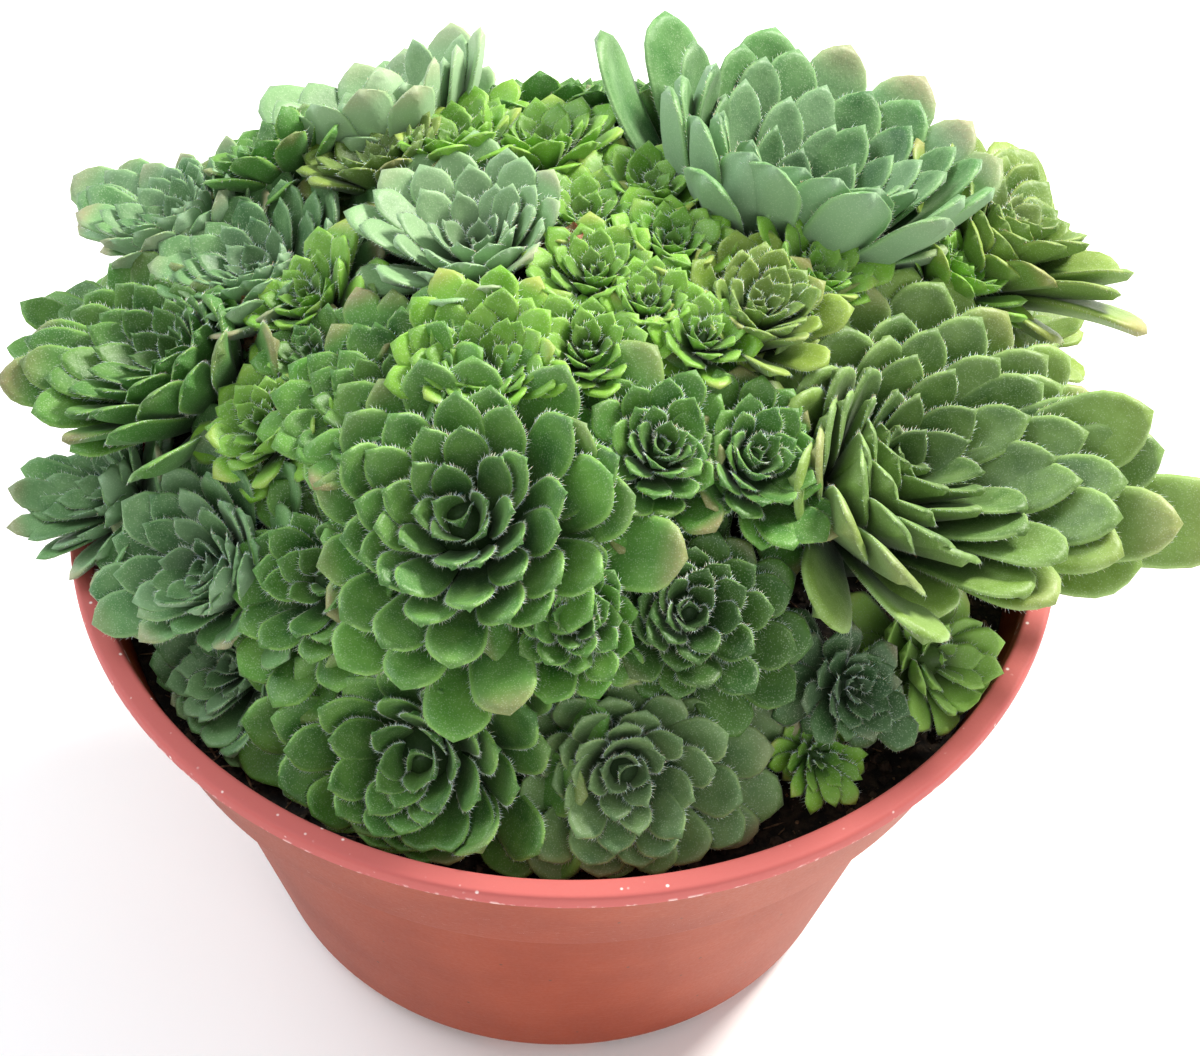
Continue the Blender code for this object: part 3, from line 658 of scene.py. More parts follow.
@dataclass
class Mound:
    """Parts the space among the rosettes, and keeps their leaves clear of the rim and the soil.

    Each rosette has a cell round its spine. Its leaves may pass over the cell's walls by a share, so
    leaves of neighbours can overlap where they crowd. The gap, the clearance and the safe heights are
    in millimetres.
    """

    gap: float = -2.0
    overlap: float = 1.7
    sharpness: float = 7.0
    rise: float = 0.25
    safe_above_soil: float = 4.0
    safe_above_rim: float = 3.0
    clearance: float = 0.4
    open_side: float = 10.0
    halvings: int = 20
    furthest_share: float = 4.0
    edge_sharpness: float = 6.0

    def walls(self, place: Place) -> np.ndarray:
        """Normals of the planes through the root point that part a rosette from the others.

        Args:
            place: the rosette's place.

        Returns:
            One normal for each neighbour.
        """
        own = place.spine
        normals = []
        for other in PLACES:
            if other.name == place.name:
                continue
            towards = other.spine
            between = math.acos(float(np.clip(own @ towards, -1.0, 1.0)))
            turn = between * place.spread / (place.spread + other.spread)
            sideways = unit(towards - own * (own @ towards))
            normals.append(sideways * math.cos(turn) - own * math.sin(turn))
        return np.array(normals)

    def limit(
        self, walls: np.ndarray, own: np.ndarray, sideways: np.ndarray, depth: np.ndarray
    ) -> np.ndarray:
        """How far sideways a point may lie, as a share of its depth along the spine.

        Args:
            walls: the cell's walls.
            own: the spine's direction.
            sideways: the direction of each point from the spine.
            depth: each point's depth along the spine, in millimetres.

        Returns:
            The limit for each point.
        """
        toward = sideways @ walls.T
        room = -(walls @ own)[None, :] - self.gap / 2 / depth[:, None]
        return np.where(toward > 1e-6, room / np.maximum(toward, 1e-6), self.open_side).min(axis=1)

    def allowed(self, points: np.ndarray, place: Place) -> np.ndarray:
        """Tells which points are clear of the pot and the soil.

        Args:
            points: the points.
            place: the rosette's place.

        Returns:
            True for each point that is clear.
        """
        height = points[:, 2]
        above = height > POT_HEIGHT + self.clearance
        if not place.tucked:
            return above
        out = np.hypot(points[:, 0], points[:, 1])
        slope = (RIM_INNER - WALL_AT_SOIL) / (POT_HEIGHT - SOIL_TOP)
        wall = np.minimum(WALL_AT_SOIL + slope * (height - SOIL_TOP), RIM_INNER)
        inside = (out < wall - self.clearance) & (height > SOIL_TOP + SOIL_HEAD)
        return inside | above if place.over_rim else inside

    def bend_clear(self, points: np.ndarray, place: Place, walls: np.ndarray) -> np.ndarray:
        """Bends points towards their own cell, and then clear of the pot and the soil.

        Args:
            points: the points of a head.
            place: the rosette's place.
            walls: the cell's walls.

        Returns:
            The bent points.
        """
        own = place.spine
        offset = points - ROOT_POINT
        depth = offset @ own
        lateral = offset / depth[:, None] - own
        spread = np.maximum(np.linalg.norm(lateral, axis=1), 1e-9)
        sideways = lateral / spread[:, None]
        room = self.limit(walls, own, sideways, depth) * self.overlap * place.sprawl
        bent = soft_limit(spread, room, self.sharpness)
        depth = depth * (1.0 + self.rise * (spread - bent))
        settled = ROOT_POINT + depth[:, None] * (own + bent[:, None] * sideways)
        floor = SOIL_TOP + self.safe_above_soil if place.tucked else POT_HEIGHT + self.safe_above_rim
        middle = ROOT_POINT + np.maximum(depth, (floor - ROOT_POINT[2]) / own[2])[:, None] * own
        away = settled - middle
        low = np.zeros(len(points))
        high = np.full(len(points), self.furthest_share)
        for _ in range(self.halvings):
            trial = (low + high) / 2
            fits = self.allowed(middle + trial[:, None] * away, place)
            low = np.where(fits, trial, low)
            high = np.where(fits, high, trial)
        kept = soft_limit(np.ones(len(points)), np.maximum(low, 1e-3), self.edge_sharpness)
        return middle + kept[:, None] * away


@dataclass
class LeafForm:
    """A leaf's outline, section and hairs, as a grid that is laid along a curve.

    The point and the hairs' length, radius and root are in millimetres, the others are shares.
    """

    detail: Detail
    thickness: float = 0.23
    shoulder: float = 0.45
    taper: float = 0.5
    keel: float = 0.35
    cup: float = 0.17
    handle: float = 0.45
    point: float = 0.95
    hair_length: float = 0.74
    hair_radius: float = 0.056
    hair_start: float = 0.42
    hair_end: float = 0.995
    hair_root: float = 0.1
    hair_stray: float = 0.30

    def __post_init__(self) -> None:
        """Lays out the grid: how far along, how far across and which face each point is on."""
        stations, cells, _ = self.detail.value
        steps = np.linspace(0.0, 1.0, stations)[:-1]
        self.rows = 1.0 - (1.0 - steps) ** 1.7
        across = np.sin(np.linspace(-1.0, 1.0, cells + 1) * math.pi / 2)
        ring_across = np.concatenate((across, across[-2:0:-1]))
        ring_under = np.concatenate((np.zeros(cells + 1), np.ones(cells - 1)))
        size = len(ring_across)
        self.along = np.append(np.repeat(self.rows, size), 1.0)
        self.across = np.append(np.tile(ring_across, len(self.rows)), 0.0)
        self.under = np.append(np.tile(ring_under, len(self.rows)), 0.5)
        self.faces = []
        for row in range(len(self.rows) - 1):
            for spot in range(size):
                here = row * size + spot
                following = row * size + (spot + 1) % size
                self.faces.append((here, following, following + size, here + size))
        last = (len(self.rows) - 1) * size
        for spot in range(size):
            self.faces.append((last + spot, last + (spot + 1) % size, len(self.along) - 1))

    def width(self, along: np.ndarray, pointed: float) -> np.ndarray:
        """The outline: narrow at the base, widest past the middle, with a round or pointed end.

        Args:
            along: places along the leaf, 0 to 1.
            pointed: 0 for a round end, 1 for a pointed one.

        Returns:
            Each place's share of the half width.
        """
        widest = 0.80 - 0.14 * pointed
        lower = 0.40 + 0.60 * np.sin(math.pi / 2 * np.clip(along / widest, 0.0, 1.0)) ** 1.3
        past = np.clip((along - widest) / (1.0 - widest), 0.0, 1.0)
        upper = np.maximum(1.0 - past ** (2.4 - 0.8 * pointed), 0.0) ** (0.50 + 0.32 * pointed)
        return np.where(along < widest, lower, upper)


@dataclass
class Leaf:
    """One leaf: where it starts and ends, in the rosette's own axes, and how it is curved.

    Base and tip are a distance from the spine and a height above the plate. Tilt is the tip's angle
    above the plate.
    """

    direction: float
    base: tuple[float, float]
    tip: tuple[float, float]
    tilt: float
    half_width: float
    pointed: float
    twist: float
    thickness: float
    cup: float
    crumple: float = 0.0

    def wither(self) -> None:
        """Makes it a thin, crumpled dead leaf that ends lower."""
        self.crumple = 0.16
        self.thickness *= 0.3
        self.tilt -= 0.2

    def points(self, form: LeafForm, along: np.ndarray, across: np.ndarray, under: np.ndarray) -> np.ndarray:
        """Lays grid places onto the leaf's curved faces.

        Args:
            form: the leaf's outline and section.
            along: places from the base, 0, to the end, 1.
            across: places from one margin, -1, to the other, 1.
            under: 0 on the upper face and 1 on the lower one.

        Returns:
            Points in the rosette's own axes, in millimetres.
        """
        start, end = np.array(self.base), np.array(self.tip)
        lean = np.array((math.cos(self.tilt), math.sin(self.tilt)))
        control = end - lean * form.handle * np.linalg.norm(end - start)
        pointed_end = 1.0 + form.point / np.linalg.norm(end - start)
        reach = np.where(along >= 1.0, pointed_end, along)[:, None]
        spot = (1 - reach) ** 2 * start + 2 * reach * (1 - reach) * control + reach ** 2 * end
        slope = 2 * (1 - reach) * (control - start) + 2 * reach * (end - control)
        slope = slope / np.linalg.norm(slope, axis=1)[:, None]
        normal = np.stack((-slope[:, 1], slope[:, 0]), axis=1)
        side = across * self.half_width * form.width(along, self.pointed)
        hug = side ** 2 / (2.0 * np.maximum(spot[:, 0], 1.5)) * np.clip(slope[:, 1], 0.0, 1.0)
        lift = self.cup * side ** 2 / self.half_width * np.clip(1.5 - along, 0.4, 1.0)
        lift = lift + np.minimum(hug, 0.8 * np.abs(side))
        lift = lift - form.shoulder * self.thickness * across ** 6
        body = self.thickness * np.sqrt(np.maximum(1.0 - across ** 2, 0.0)) * (1.0 - form.taper * along)
        keel = form.keel * self.thickness * np.maximum(1.0 - 3.0 * np.abs(across), 0.0) * along
        lift = lift - under * (body + keel)
        ripple = np.sin(9.0 * along + 5.0 * across + self.direction * 7.0)
        ripple = ripple + np.sin(17.0 * along - 8.0 * across)
        lift = lift + self.crumple * self.half_width * ripple
        turned = side * math.cos(self.twist) - lift * math.sin(self.twist)
        lift = side * math.sin(self.twist) + lift * math.cos(self.twist)
        out = spot[:, 0] + lift * normal[:, 0]
        height = spot[:, 1] + lift * normal[:, 1]
        outward = np.array((math.cos(self.direction), math.sin(self.direction)))
        level = np.array((-outward[1], outward[0]))
        flat = out[:, None] * outward + turned[:, None] * level
        return np.column_stack((flat, height))


@dataclass
class Gathered:
    """A rosette's parts, gathered for one mesh, with the values that the leaf materials read."""

    points: list = field(default_factory=list)
    faces: list = field(default_factory=list)
    slots: list = field(default_factory=list)
    values: dict = field(default_factory=lambda: {name: [] for name in LEAF_VALUES})
    total: int = 0

    def add(self, points: np.ndarray, faces: list, skin: Skin, values: tuple) -> None:
        """Adds one part.

        Args:
            points: the part's points.
            faces: each face's point numbers within the part.
            skin: the part's material.
            values: one for each of LEAF_VALUES, a number or a number for each point.
        """
        self.faces.extend(tuple(corner + self.total for corner in face) for face in faces)
        self.slots.extend([skin] * len(faces))
        self.points.append(points)
        self.total += len(points)
        for name, value in zip(LEAF_VALUES, values):
            self.values[name].append(np.broadcast_to(value, len(points)))


@dataclass
class RosettePiece:
    """One rosette with its leaves, hairs, heart and stem, in place of its plain node.

    Heights, and the plate's depth under the bud's place, are shares of the rosette's radius. The
    steepest lean, the skirt's fall and the bud's tilt are in degrees, dead_reach is in radians, and
    beyond and the stem's depth are in millimetres.
    """

    place: Place
    mound: Mound
    greens: dict[Tint, bpy.types.Material]
    hair: bpy.types.Material
    dry: bpy.types.Material
    bud_height: float = 0.46
    ring_height: float = 0.70
    sunken: float = 0.50
    rim_height: float = 0.45
    plate_depth: float = 0.50
    bud_tightness: float = 0.65
    lean_cost: float = 0.45
    rise_when_short: float = 0.60
    steepest_lean: float = 60.0
    shortest: float = 0.35
    blocked_cost: float = 5.0
    beyond: float = 4.0
    stray_share: float = 0.08
    stray_ages: tuple[float, float] = (0.12, 0.5)
    skirt: int = 9
    skirt_fall: float = 4.0
    skirt_shrink: float = 0.03
    leaf_scale: float = 1.5
    leaf_growth: float = 0.58
    crowding: float = 6.6
    bud_leaves: int = 6
    bud_gap: float = 0.035
    bud_tilt: float = 86.0
    bud_narrowing: float = 0.50
    stoutest: float = 0.40
    dying: int = 2
    dead_reach: float = 0.4
    stem_depth: float = 6.5
    heart_sides: int = 12

    def __post_init__(self) -> None:
        """Works out what the leaves have in common."""
        self.draws = np.random.default_rng([SEED, PLACES.index(self.place)])
        self.walls = self.mound.walls(self.place)
        radius = self.place.radius
        self.leaf_width = self.leaf_scale * radius ** self.leaf_growth * self.place.broad
        covered = radius * (0.2 + 0.5 * self.place.wide + 0.2 * self.place.far)
        self.count = round(self.crowding * (covered / self.leaf_width) ** 2) + self.bud_leaves
        self.drop = self.sunken * self.place.cupped
        self.core_reach = self.place.reach - self.plate_depth * radius
        self.centre = ROOT_POINT + self.place.spine * self.core_reach
        self.form = LeafForm(Detail.suited(radius))

    def fit(self, direction: float, tip: tuple[float, float], slack: float) -> tuple[float, float, float]:
        """Leans a leaf up until it clears the pot, and shortens it to end near its cell's wall.

        Args:
            direction: the leaf's direction round the spine.
            tip: the wanted distance from the spine and height above the plate.
            slack: how far the tip may pass the cell's wall, as a factor.

        Returns:
            The tip's distance and height, and how far the leaf was leaned, in radians.
        """
        leans = np.radians(np.linspace(0.0, self.steepest_lean, 21))
        lifts, scales = np.meshgrid(leans, np.linspace(1.0, self.shortest, 27))
        angle = math.atan2(tip[1], tip[0]) + lifts + (1.0 - scales) * self.rise_when_short
        out = math.hypot(*tip) * scales * np.cos(angle)
        height = math.hypot(*tip) * scales * np.sin(angle)
        across, upward, own = self.place.axes
        outward = math.cos(direction) * across + math.sin(direction) * upward
        spots = self.centre + out.ravel()[:, None] * outward + height.ravel()[:, None] * own
        clear = self.mound.allowed(spots, self.place).reshape(out.shape)
        depth = self.core_reach + height
        sideways = np.repeat(outward[None, :], depth.size, axis=0)
        room = self.mound.limit(self.walls, own, sideways, depth.ravel()).reshape(out.shape) * depth
        inside = out < room * slack
        cost = np.where(clear, 0.0, self.blocked_cost) + self.lean_cost * lifts + (1.0 - scales)
        lean = int(np.unravel_index(np.argmin(cost), cost.shape)[1])
        fits = np.flatnonzero(clear[:, lean] & inside[:, lean])
        row = int(fits[0]) if len(fits) else len(scales) - 1
        leaned = float(lifts[0, lean] + (1.0 - scales[row, 0]) * self.rise_when_short)
        return float(out[row, lean]), float(height[row, lean]), leaned

    def leaf(self, index: int) -> Leaf:
        """Settles one leaf's shape; 0 is the outermost, and the skirt's leaves lie below it.

        Args:
            index: the leaf's number from the outside.

        Returns:
            The leaf.
        """
        radius = self.place.radius
        share = max(index / (self.count - 1), 0.0)
        below = max(-index, 0)
        direction = index * GOLDEN_ANGLE + LEAF_TURN + self.draws.normal(0.0, 0.05)
        lowest = math.radians(self.place.opening - self.skirt_fall * below)
        outward = max(-math.sin(direction), 0.0)
        furthest = radius * (self.place.wide + (self.place.far - self.place.wide) * outward) + self.beyond
        edge = furthest * (1.0 - self.skirt_shrink * below)
        slack = self.draws.uniform(0.98, 1.12) + 0.25 * (1.0 - share) ** 4 * self.draws.uniform()
        wanted = (edge * math.cos(lowest), edge * math.sin(lowest))
        edge, drop, lift = self.fit(direction, wanted, slack * self.place.sprawl)
        spread = self.bud_gap + (1.0 - self.bud_gap) * (1.0 - share) ** self.bud_tightness
        spread *= self.draws.uniform(0.96, 1.03)
        out = edge * spread
        ring = self.ring_height * spread * (1.0 - spread) * min(edge / furthest * 1.3, 1.0)
        bowl = self.place.cupped
        bud = self.bud_height - self.drop
        rise = bud * (1.0 - spread ** 2) + ring + self.rim_height * bowl * spread
        height = drop * spread ** 1.5 + radius * rise
        height -= self.place.lean * out * math.sin(direction) * self.place.axes[1][2]
        steeper = math.radians(self.bud_tilt) - lowest - lift * 0.5
        tilt = lowest + lift * (1.0 - share) + steeper * share ** 0.9
        base = (
            radius * 0.16 * (1.0 - share) ** 0.6 + 0.2,
            radius * ((0.30 - self.drop) * share ** 1.2 - 0.06),
        )
        wide = float(np.clip((edge / radius) ** 0.5, 0.85, 1.3))
        half_width = self.leaf_width / 2 * wide * (1.0 - self.bud_narrowing * share ** 1.6)
        half_width *= self.draws.uniform(0.92, 1.08)
        half_width = min(half_width, self.stoutest * math.hypot(out - base[0], height - base[1]))
        tilt += bowl * (1.0 - share)
        outermost, innermost = self.stray_ages
        if outermost < share < innermost and self.draws.uniform() < self.stray_share:
            astray = self.draws.uniform(0.30, 0.65)
            tilt += astray
            height += out * astray * 0.35
            out *= 1.0 - astray * 0.45
        level = math.cos(direction) * self.place.axes[1] - math.sin(direction) * self.place.axes[0]
        return Leaf(
            direction=direction,
            base=base,
            tip=(out, height),
            tilt=tilt + self.draws.normal(0.0, 0.07),
            half_width=half_width,
            pointed=float(np.clip(0.05 + 0.85 * share ** 2 + self.draws.normal(0.0, 0.08), 0.0, 1.0)),
            twist=self.draws.normal(0.0, 0.10) + self.place.turned * float(level[1]) * (1.0 - share),
            thickness=half_width * 2 * self.form.thickness,
            cup=self.form.cup * self.draws.uniform(0.6, 1.2),
        )

    def build(self) -> bpy.types.Object:
        """Builds the rosette's mesh and dresses it.

        Returns:
            The rosette's object.
        """
        form, tone = self.form, self.place.tone
        parts = Gathered()
        dead = [math.radians(turn) for turn in self.place.dry]
        for index in range(-self.skirt, self.count):
            leaf = self.leaf(index)
            aside = [abs(math.remainder(leaf.direction - turn, math.tau)) for turn in dead]
            withered = index < self.dying and min(aside, default=math.pi) < self.dead_reach
            if withered:
                leaf.wither()
            share = max(index / (self.count - 1), 0.0)
            whim = self.draws.uniform()
            blade = leaf.points(form, form.along, form.across, form.under)
            skin = Skin.DRY if withered else Skin.LEAF
            values = (form.along, np.abs(form.across), share, whim, form.under, tone)
            parts.add(blade, form.faces, skin, values)
            if not withered:
                parts.add(*self.hairs(leaf), Skin.HAIR, (1.0, 1.0, share, whim, 0.0, tone))
        heads = parts.total
        parts.add(*self.heart(), Skin.LEAF, (0.0, 0.0, 1.0, 0.0, 0.0, tone))
        world = self.centre + np.vstack(parts.points) @ self.place.axes
        world[:heads] = self.mound.bend_clear(world[:heads], self.place, self.walls)
        materials = [self.greens[self.place.tint], self.hair, self.dry]
        joined = {name: np.concatenate(values) for name, values in parts.values.items()}
        piece = add_mesh("leaves_" + self.place.name, world, parts.faces, materials, parts.slots, joined)
        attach(piece, BODY)
        node = "rosette_" + self.place.name
        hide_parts(node)
        return piece

    def hairs(self, leaf: Leaf) -> tuple[np.ndarray, list]:
        """Sets short three-sided hairs along both margins.

        Args:
            leaf: the leaf that carries them.

        Returns:
            The hairs' points and faces.
        """
        each = self.form.detail.value[2]
        along = np.tile(np.linspace(self.form.hair_start, self.form.hair_end, each), 2)
        along = along + self.draws.uniform(-0.5, 0.5, 2 * each) * 0.5 / each
        along = np.clip(along, 0.3, 0.998)
        across = np.repeat((-1.0, 1.0), each)
        flat = np.zeros(2 * each)
        root = leaf.points(self.form, along, across, flat)
        inner = leaf.points(self.form, along - 0.03, across * 0.8, flat)
        out = root - inner
        out = out / np.maximum(np.linalg.norm(out, axis=1), 1e-6)[:, None]
        out = out + self.draws.normal(0.0, self.form.hair_stray, out.shape)
        length = self.form.hair_length * self.draws.uniform(0.5, 1.1, 2 * each)
        tips = root + out * length[:, None]
        foot = root - out * self.form.hair_root
        spots = [foot + np.array(shift) * self.form.hair_radius for shift in HAIR_SECTION]
        points = np.stack((*spots, tips), axis=1).reshape(-1, 3)
        faces = []
        for first in range(0, len(points), 4):
            faces.extend((first + side, first + (side + 1) % 3, first + 3) for side in range(3))
        return points, faces

    def heart(self) -> tuple[np.ndarray, list]:
        """Turns the solid heart that the leaves stand on, and its stem.

        Returns:
            The heart's points and faces.
        """
        radius = self.place.radius
        stem = 1.2 + 0.05 * radius
        foot = (SOIL_TOP - ROOT_POINT[2]) / self.place.spine[2] - self.stem_depth - self.core_reach
        low = self.drop * radius
        profile = [
            (0.01, 0.44 * radius - low),
            (0.12 * radius, 0.36 * radius - low),
            (0.24 * radius, 0.18 * radius - low),
            (0.28 * radius, -low),
            (0.20 * radius, -0.10 * radius - low),
            (stem, -0.15 * radius - 1.0 - low),
            (stem, foot),
        ]
        points, strips = turn_profile(profile, self.heart_sides)
        return np.array(points), [face for strip in strips for face in strip]


def rounded(profile: list[tuple[float, float, float]], steps: int = 4) -> Profile:
    """Rounds a profile's corners.

    Args:
        profile: each corner's radius from the axis, height and rounding.
        steps: how many parts each rounding has.

    Returns:
        The rounded profile's points.
    """
    made = []
    for number, (out, height, round_off) in enumerate(profile):
        if round_off <= 0.0:
            made.append((out, height))
            continue
        corner = np.array((out, height))
        before = np.array(profile[number - 1][:2]) - corner
        after = np.array(profile[number + 1][:2]) - corner
        start = corner + before / np.linalg.norm(before) * round_off
        end = corner + after / np.linalg.norm(after) * round_off
        for step in range(steps + 1):
            part = step / steps
            spot = (1 - part) ** 2 * start + 2 * part * (1 - part) * corner + part ** 2 * end
            made.append((float(spot[0]), float(spot[1])))
    return made


@dataclass
class PotPiece:
    """The moulded bowl pot with its lip, collar, feet and drain holes; millimetres and degrees."""

    segments: int = 192
    foot_height: float = 2.2
    foot_outer: float = 55.0
    foot_width: float = 4.0
    foot_count: int = 8
    foot_arc: float = 23.0
    front_foot: float = -92.0
    pad_radius: float = 9.0
    drain_count: int = 6
    drain_radius: float = 3.5
    drain_circle: float = 30.0
    drain_cut: tuple[float, float] = (-5.0, 20.0)
    drain_segments: int = 24
    pad_segments: int = 36
    foot_steps: int = 10
    soft_edge: float = 0.5
    sharp_from: float = 40.0

    def turned(self, name: str, profile: Profile, segments: int) -> bpy.types.Object:
        """Turns a profile that starts and ends on the axis.

        Args:
            name: the object's name.
            profile: radius and height of each point.
            segments: how many steps go round.

        Returns:
            The closed object.
        """
        points, strips = turn_profile(profile[1:-1], segments)
        bottom, top = len(points), len(points) + 1
        points.extend(((0.0, 0.0, profile[0][1]), (0.0, 0.0, profile[-1][1])))
        faces = []
        for strip in strips:
            lowest, highest = strip[0], strip[-1]
            faces.extend(((bottom, lowest[1], lowest[0]), *strip, (highest[3], highest[2], top)))
        return add_mesh(name, np.array(points), faces, [])

    def foot(self, number: int) -> bpy.types.Object:
        """Makes one short arc foot.

        Args:
            number: the foot's number, from the front one.

        Returns:
            The foot.
        """
        steps, soft = self.foot_steps, self.soft_edge
        inner, outer = self.foot_outer - self.foot_width, self.foot_outer
        high = self.foot_height + FOOT_SINK
        section = (
            (inner, high), (inner, soft), (inner + soft, 0.0),
            (outer - soft, 0.0), (outer, soft), (outer, high),
        )
        middle = self.front_foot + number * 360 / self.foot_count
        points = []
        for step in range(steps + 1):
            turn = math.radians(middle + self.foot_arc * (step / steps - 0.5))
            points.extend((out * math.cos(turn), out * math.sin(turn), height) for out, height in section)
        size = len(section)
        faces = [tuple(range(size)), tuple(range(steps * size + size - 1, steps * size - 1, -1))]
        for step in range(steps):
            for edge in range(size):
                here, following = step * size + edge, step * size + (edge + 1) % size
                faces.append((following, here, here + size, following + size))
        return add_mesh(f"foot_{number}", np.array(points), faces, [])

    def combine(self, target: bpy.types.Object, operation: str, tools: list) -> None:
        """Joins tools to the target or cuts them from it, and removes them.

        Args:
            target: the object that is changed.
            operation: UNION or DIFFERENCE.
            tools: the objects that are used up.
        """
        holder = bpy.data.collections.new("pot_tools")
        bpy.context.scene.collection.children.link(holder)
        for tool in tools:
            holder.objects.link(tool)
            bpy.context.scene.collection.objects.unlink(tool)
        modifier = target.modifiers.new("shape", "BOOLEAN")
        modifier.operation = operation
        modifier.operand_type = "COLLECTION"
        modifier.collection = holder
        modifier.solver = "EXACT"
        bpy.context.view_layer.update()
        shaped = bpy.data.meshes.new_from_object(target.evaluated_get(bpy.context.evaluated_depsgraph_get()))
        target.modifiers.clear()
        target.data = shaped
        for tool in tools:
            bpy.data.objects.remove(tool, do_unlink=True)
        bpy.data.collections.remove(holder)

    def build(self) -> bpy.types.Object:
        """Builds and dresses the pot.

        Returns:
            The pot's object.
        """
        floor = self.foot_height
        # Radius, height and rounding of each corner, from the floor's underside to its upper face
        profile = [
            (0.0, floor, 0.0), (55.5, floor, 1.0), (58.0, floor + 2.5, 1.2), (75.0, 67.5, 0.8),
            (79.5, 69.0, 1.2), (88.0, 94.0, 0.8), (RIM_RADIUS, 94.0, 0.7), (RIM_RADIUS, POT_HEIGHT, 0.9),
            (RIM_INNER, POT_HEIGHT, 0.8), (77.7, 71.0, 1.0), (72.7, 66.0, 1.0), (56.7, 7.0, 1.0),
            (54.2, 4.2, 1.0), (0.0, 4.2, 0.0),
        ]
        pot = self.turned("pot_shell", rounded(profile), self.segments)
        pads = [self.foot(number) for number in range(self.foot_count)]
        top, wide = floor + FOOT_SINK, self.pad_radius
        pad = rounded([(0.0, 0.0, 0.0), (wide, 0.0, self.soft_edge), (wide, top, 0.0), (0.0, top, 0.0)])
        pads.append(self.turned("centre_pad", pad, self.pad_segments))
        self.combine(pot, "UNION", pads)
        drains = []
        low, high = self.drain_cut
        hole = [(0.0, low), (self.drain_radius, low), (self.drain_radius, high), (0.0, high)]
        for number in range(self.drain_count):
            turn = math.tau * (number + 0.5) / self.drain_count
            drain = self.turned(f"drain_{number}", hole, self.drain_segments)
            out = self.drain_circle
            drain.location = (out * math.cos(turn) * MM, out * math.sin(turn) * MM, 0.0)
            drains.append(drain)
        self.combine(pot, "DIFFERENCE", drains)
        pot.data.materials.clear()
        pot.data.materials.append(PotFinish().material())
        pot.data.shade_smooth()
        pot.data.set_sharp_from_angle(angle=math.radians(self.sharp_from))
        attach(pot, BODY)
        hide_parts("pot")
        return pot


@dataclass
class SoilPiece:
    """Crumbs and fibres on the packed soil; lengths in millimetres."""

    crumbs: int = 3600
    fibres: int = 420
    edge: float = 81.0
    least: float = 0.35
    most: float = 1.7
    light_share: float = 0.1

    def dress(self) -> None:
        """Gives the packed soil its material."""
        finish = SoilFinish("soil_mix", (0.010, 0.008, 0.006), (0.050, 0.033, 0.021), (0.24, 0.17, 0.11))
        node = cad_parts["soil"]
        node.data.materials.clear()
        node.data.materials.append(finish.material())

    def build(self) -> bpy.types.Object:
        """Scatters crumbs and fibres over the soil.

        Returns:
            The crumbs' object.
        """
        draws = np.random.default_rng(SEED)
        corners = np.array([
            (0, 0, 1), (0.9, 0, 0.1), (0.28, 0.86, 0.2), (-0.73, 0.53, 0.0), (-0.73, -0.53, 0.2),
            (0.28, -0.86, -0.1), (0, 0, -0.8),
        ], dtype=float)
        around = len(corners) - 2
        sides = [(0, 1 + step, 1 + (step + 1) % around) for step in range(around)]
        sides += [(around + 1, 1 + (step + 1) % around, 1 + step) for step in range(around)]
        points, faces, slots = [], [], []
        for number in range(self.crumbs + self.fibres):
            out = self.edge * math.sqrt(draws.uniform(0.02, 1.0))
            turn = draws.uniform(0.0, math.tau)
            size = self.least + (self.most - self.least) * draws.uniform() ** 3
            shape = corners * draws.uniform(0.7, 1.3, corners.shape) * size
            if number >= self.crumbs:
                shape = corners * np.array((draws.uniform(1.5, 4.5), 0.28, 0.22)) * draws.uniform(0.6, 1.1)
            lean, spin = draws.uniform(-0.5, 0.5), draws.uniform(0.0, math.tau)
            rise = SOIL_TOP + SOIL_CROWN * (1.0 - (out / self.edge) ** 2) + size * draws.uniform(0.0, 0.45)
            rotate = Matrix.Rotation(spin, 3, "Z") @ Matrix.Rotation(lean, 3, "Y")
            shape = shape @ np.array(rotate).T
            centre = np.array((out * math.cos(turn), out * math.sin(turn), rise))
            faces.extend(tuple(corner + len(corners) * number for corner in side) for side in sides)
            light = number >= self.crumbs or draws.uniform() > 1.0 - self.light_share
            slots.extend([int(light)] * len(sides))
            points.append(shape + centre)
        mixes = (
            SoilFinish("soil_crumbs", (0.020, 0.015, 0.011), (0.095, 0.062, 0.040), (0.36, 0.26, 0.17)),
            SoilFinish("soil_fibres", (0.130, 0.075, 0.040), (0.330, 0.200, 0.110), (0.55, 0.42, 0.28)),
        )
        materials = [mix.material() for mix in mixes]
        piece = add_mesh("soil_crumbs", np.vstack(points), faces, materials, slots, smooth=False)
        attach(piece, BODY)
        return piece


@dataclass(frozen=True)
class Lamp:
    """One soft round light: its place and width in metres, and its power in watts."""

    name: str
    spot: tuple[float, float, float]
    size: float
    power: float
    colour: Colour


LAMPS = (
    Lamp("key_light", (0.75, 0.62, 0.92), 0.36, 30.0, (1.0, 0.97, 0.91)),
    Lamp("fill_light", (-0.80, 0.35, 0.80), 0.9, 9.0, (0.88, 0.95, 1.0)),
    Lamp("front_light", (0.45, -1.0, 0.55), 0.9, 3.5, (1.0, 0.99, 0.97)),
)


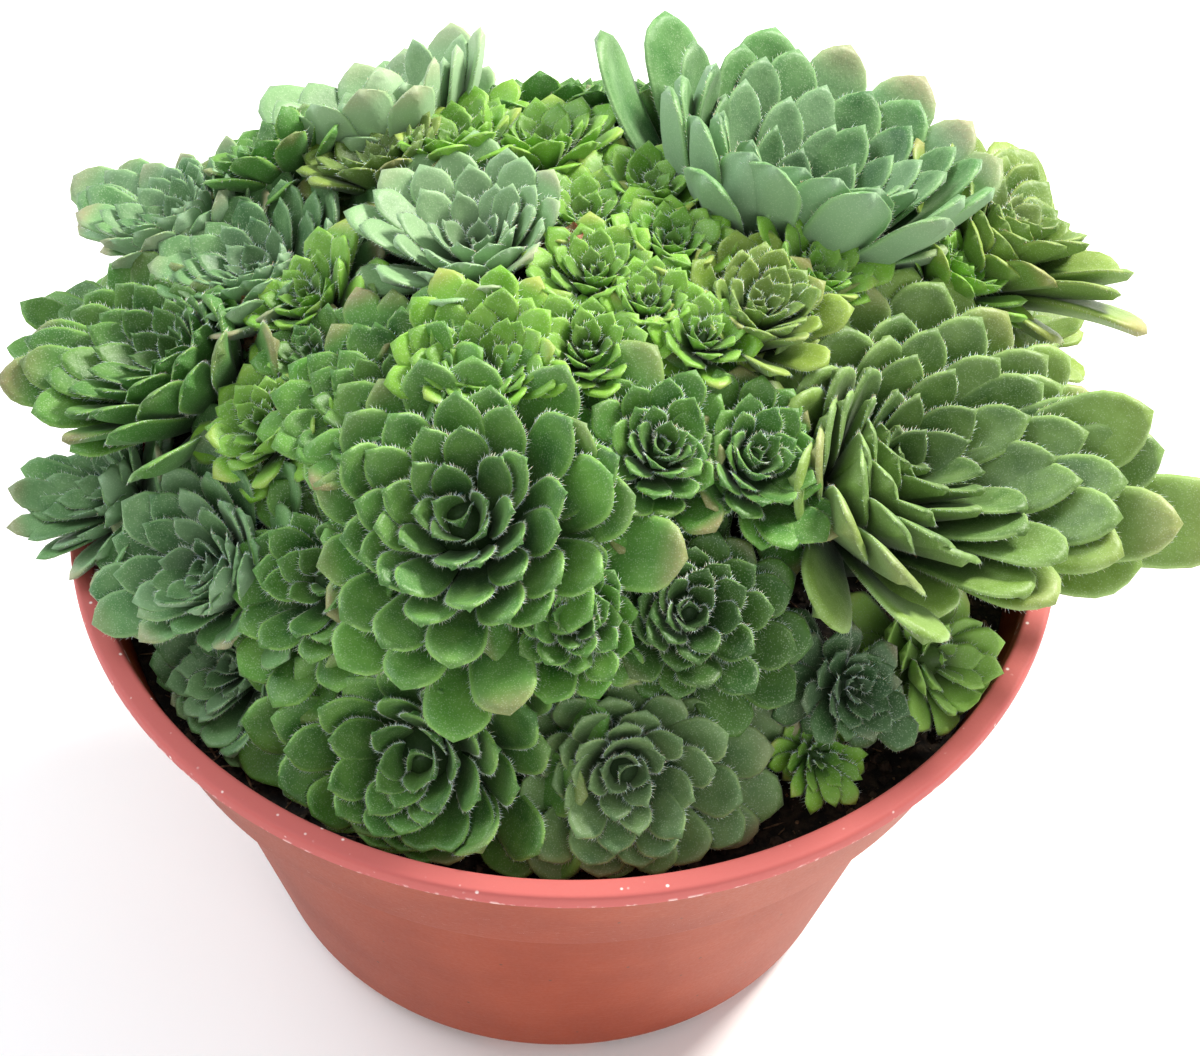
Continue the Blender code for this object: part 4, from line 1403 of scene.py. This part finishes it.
@dataclass
class Studio:
    """The pale floor, the soft lights and the camera at the photograph's angle.

    Elevation and roll are in degrees, focal and middle in the frame's pixels, the sensor and the
    floor's reach in millimetres, and the other lengths in metres.
    """

    elevation: float = 46.5
    roll: float = 1.7
    distance: float = 0.540
    target: float = 0.097
    focal: float = 2950.0
    middle: tuple[float, float] = (565.0, 496.0)
    frame_size: tuple[int, int] = (1200, 1056)
    sensor: float = 36.0
    nearest: float = 0.01
    furthest: float = 50.0
    aim_height: float = 0.10
    floor_reach: float = 4000.0
    air: Colour = (0.96, 0.98, 1.0)
    air_strength: float = 0.65

    def camera(self) -> bpy.types.Object:
        """Places the camera that was fitted to the pot's rim.

        Returns:
            The camera.
        """
        wide, high = self.frame_size
        tilt, roll = math.radians(self.elevation), math.radians(self.roll)
        back = Vector((0.0, -math.cos(tilt), math.sin(tilt)))
        right = Vector((1.0, 0.0, 0.0))
        up = back.cross(right)
        turned = right * math.cos(roll) + up * math.sin(roll)
        up = up * math.cos(roll) - right * math.sin(roll)
        data = bpy.data.cameras.new("camera")
        data.sensor_width = self.sensor
        data.lens = self.sensor * self.focal / wide
        data.shift_x = (wide / 2 - self.middle[0]) / wide
        data.shift_y = -(high / 2 - self.middle[1]) / wide
        data.clip_start = self.nearest
        data.clip_end = self.furthest
        camera = bpy.data.objects.new("camera", data)
        matrix = Matrix((turned, up, back)).transposed().to_4x4()
        matrix.translation = Vector((0.0, 0.0, self.target)) + self.distance * back
        camera.matrix_world = matrix
        bpy.context.scene.collection.objects.link(camera)
        bpy.context.scene.camera = camera
        return camera

    def light(self, lamp: Lamp) -> bpy.types.Object:
        """Adds one soft area light that faces the plant.

        Args:
            lamp: the light.

        Returns:
            The light's object.
        """
        data = bpy.data.lights.new(lamp.name, "AREA")
        data.shape = "DISK"
        data.size = lamp.size
        data.energy = lamp.power
        data.color = lamp.colour
        made = bpy.data.objects.new(lamp.name, data)
        made.location = lamp.spot
        aim = Vector((0.0, 0.0, self.aim_height)) - Vector(lamp.spot)
        made.rotation_euler = aim.to_track_quat("-Z", "Y").to_euler()
        bpy.context.scene.collection.objects.link(made)
        return made

    def build(self) -> None:
        """Makes the floor, the lights and the world."""
        size = self.floor_reach
        corners = np.array([(-size, -size, 0.0), (size, -size, 0.0), (size, size, 0.0), (-size, size, 0.0)])
        floor = add_mesh("floor", corners, [(0, 1, 2, 3)], [FloorFinish().material()], smooth=False)
        for lamp in LAMPS:
            self.light(lamp)
        world = bpy.data.worlds.new("studio_air")
        bpy.context.scene.world = world
        world.use_nodes = True
        air = world.node_tree.nodes["Background"]
        air.inputs["Color"].default_value = (*self.air, 1.0)
        air.inputs["Strength"].default_value = self.air_strength
        bpy.context.scene.view_settings.view_transform = "Standard"


def main() -> None:
    """Builds the scene's pieces in order and reports each of them."""
    logging.basicConfig(level=logging.INFO, format="%(message)s")
    studio = Studio()
    studio.camera()
    studio.build()
    pieces = [PotPiece().build()]
    soil = SoilPiece()
    soil.dress()
    pieces.append(soil.build())
    greens = {tint: tint.value.material() for tint in Tint}
    hair, dry = HairFinish().material(), DryFinish().material()
    mound = Mound()
    for place in PLACES:
        pieces.append(RosettePiece(place, mound, greens, hair, dry).build())
    triangles = 0
    for piece in pieces:
        count = sum(len(face.vertices) - 2 for face in piece.data.polygons)
        triangles += count
        LOG.info("%s: %d triangles", piece.name, count)
    LOG.info("all pieces: %d triangles", triangles)


if __name__ == "__main__":
    main()
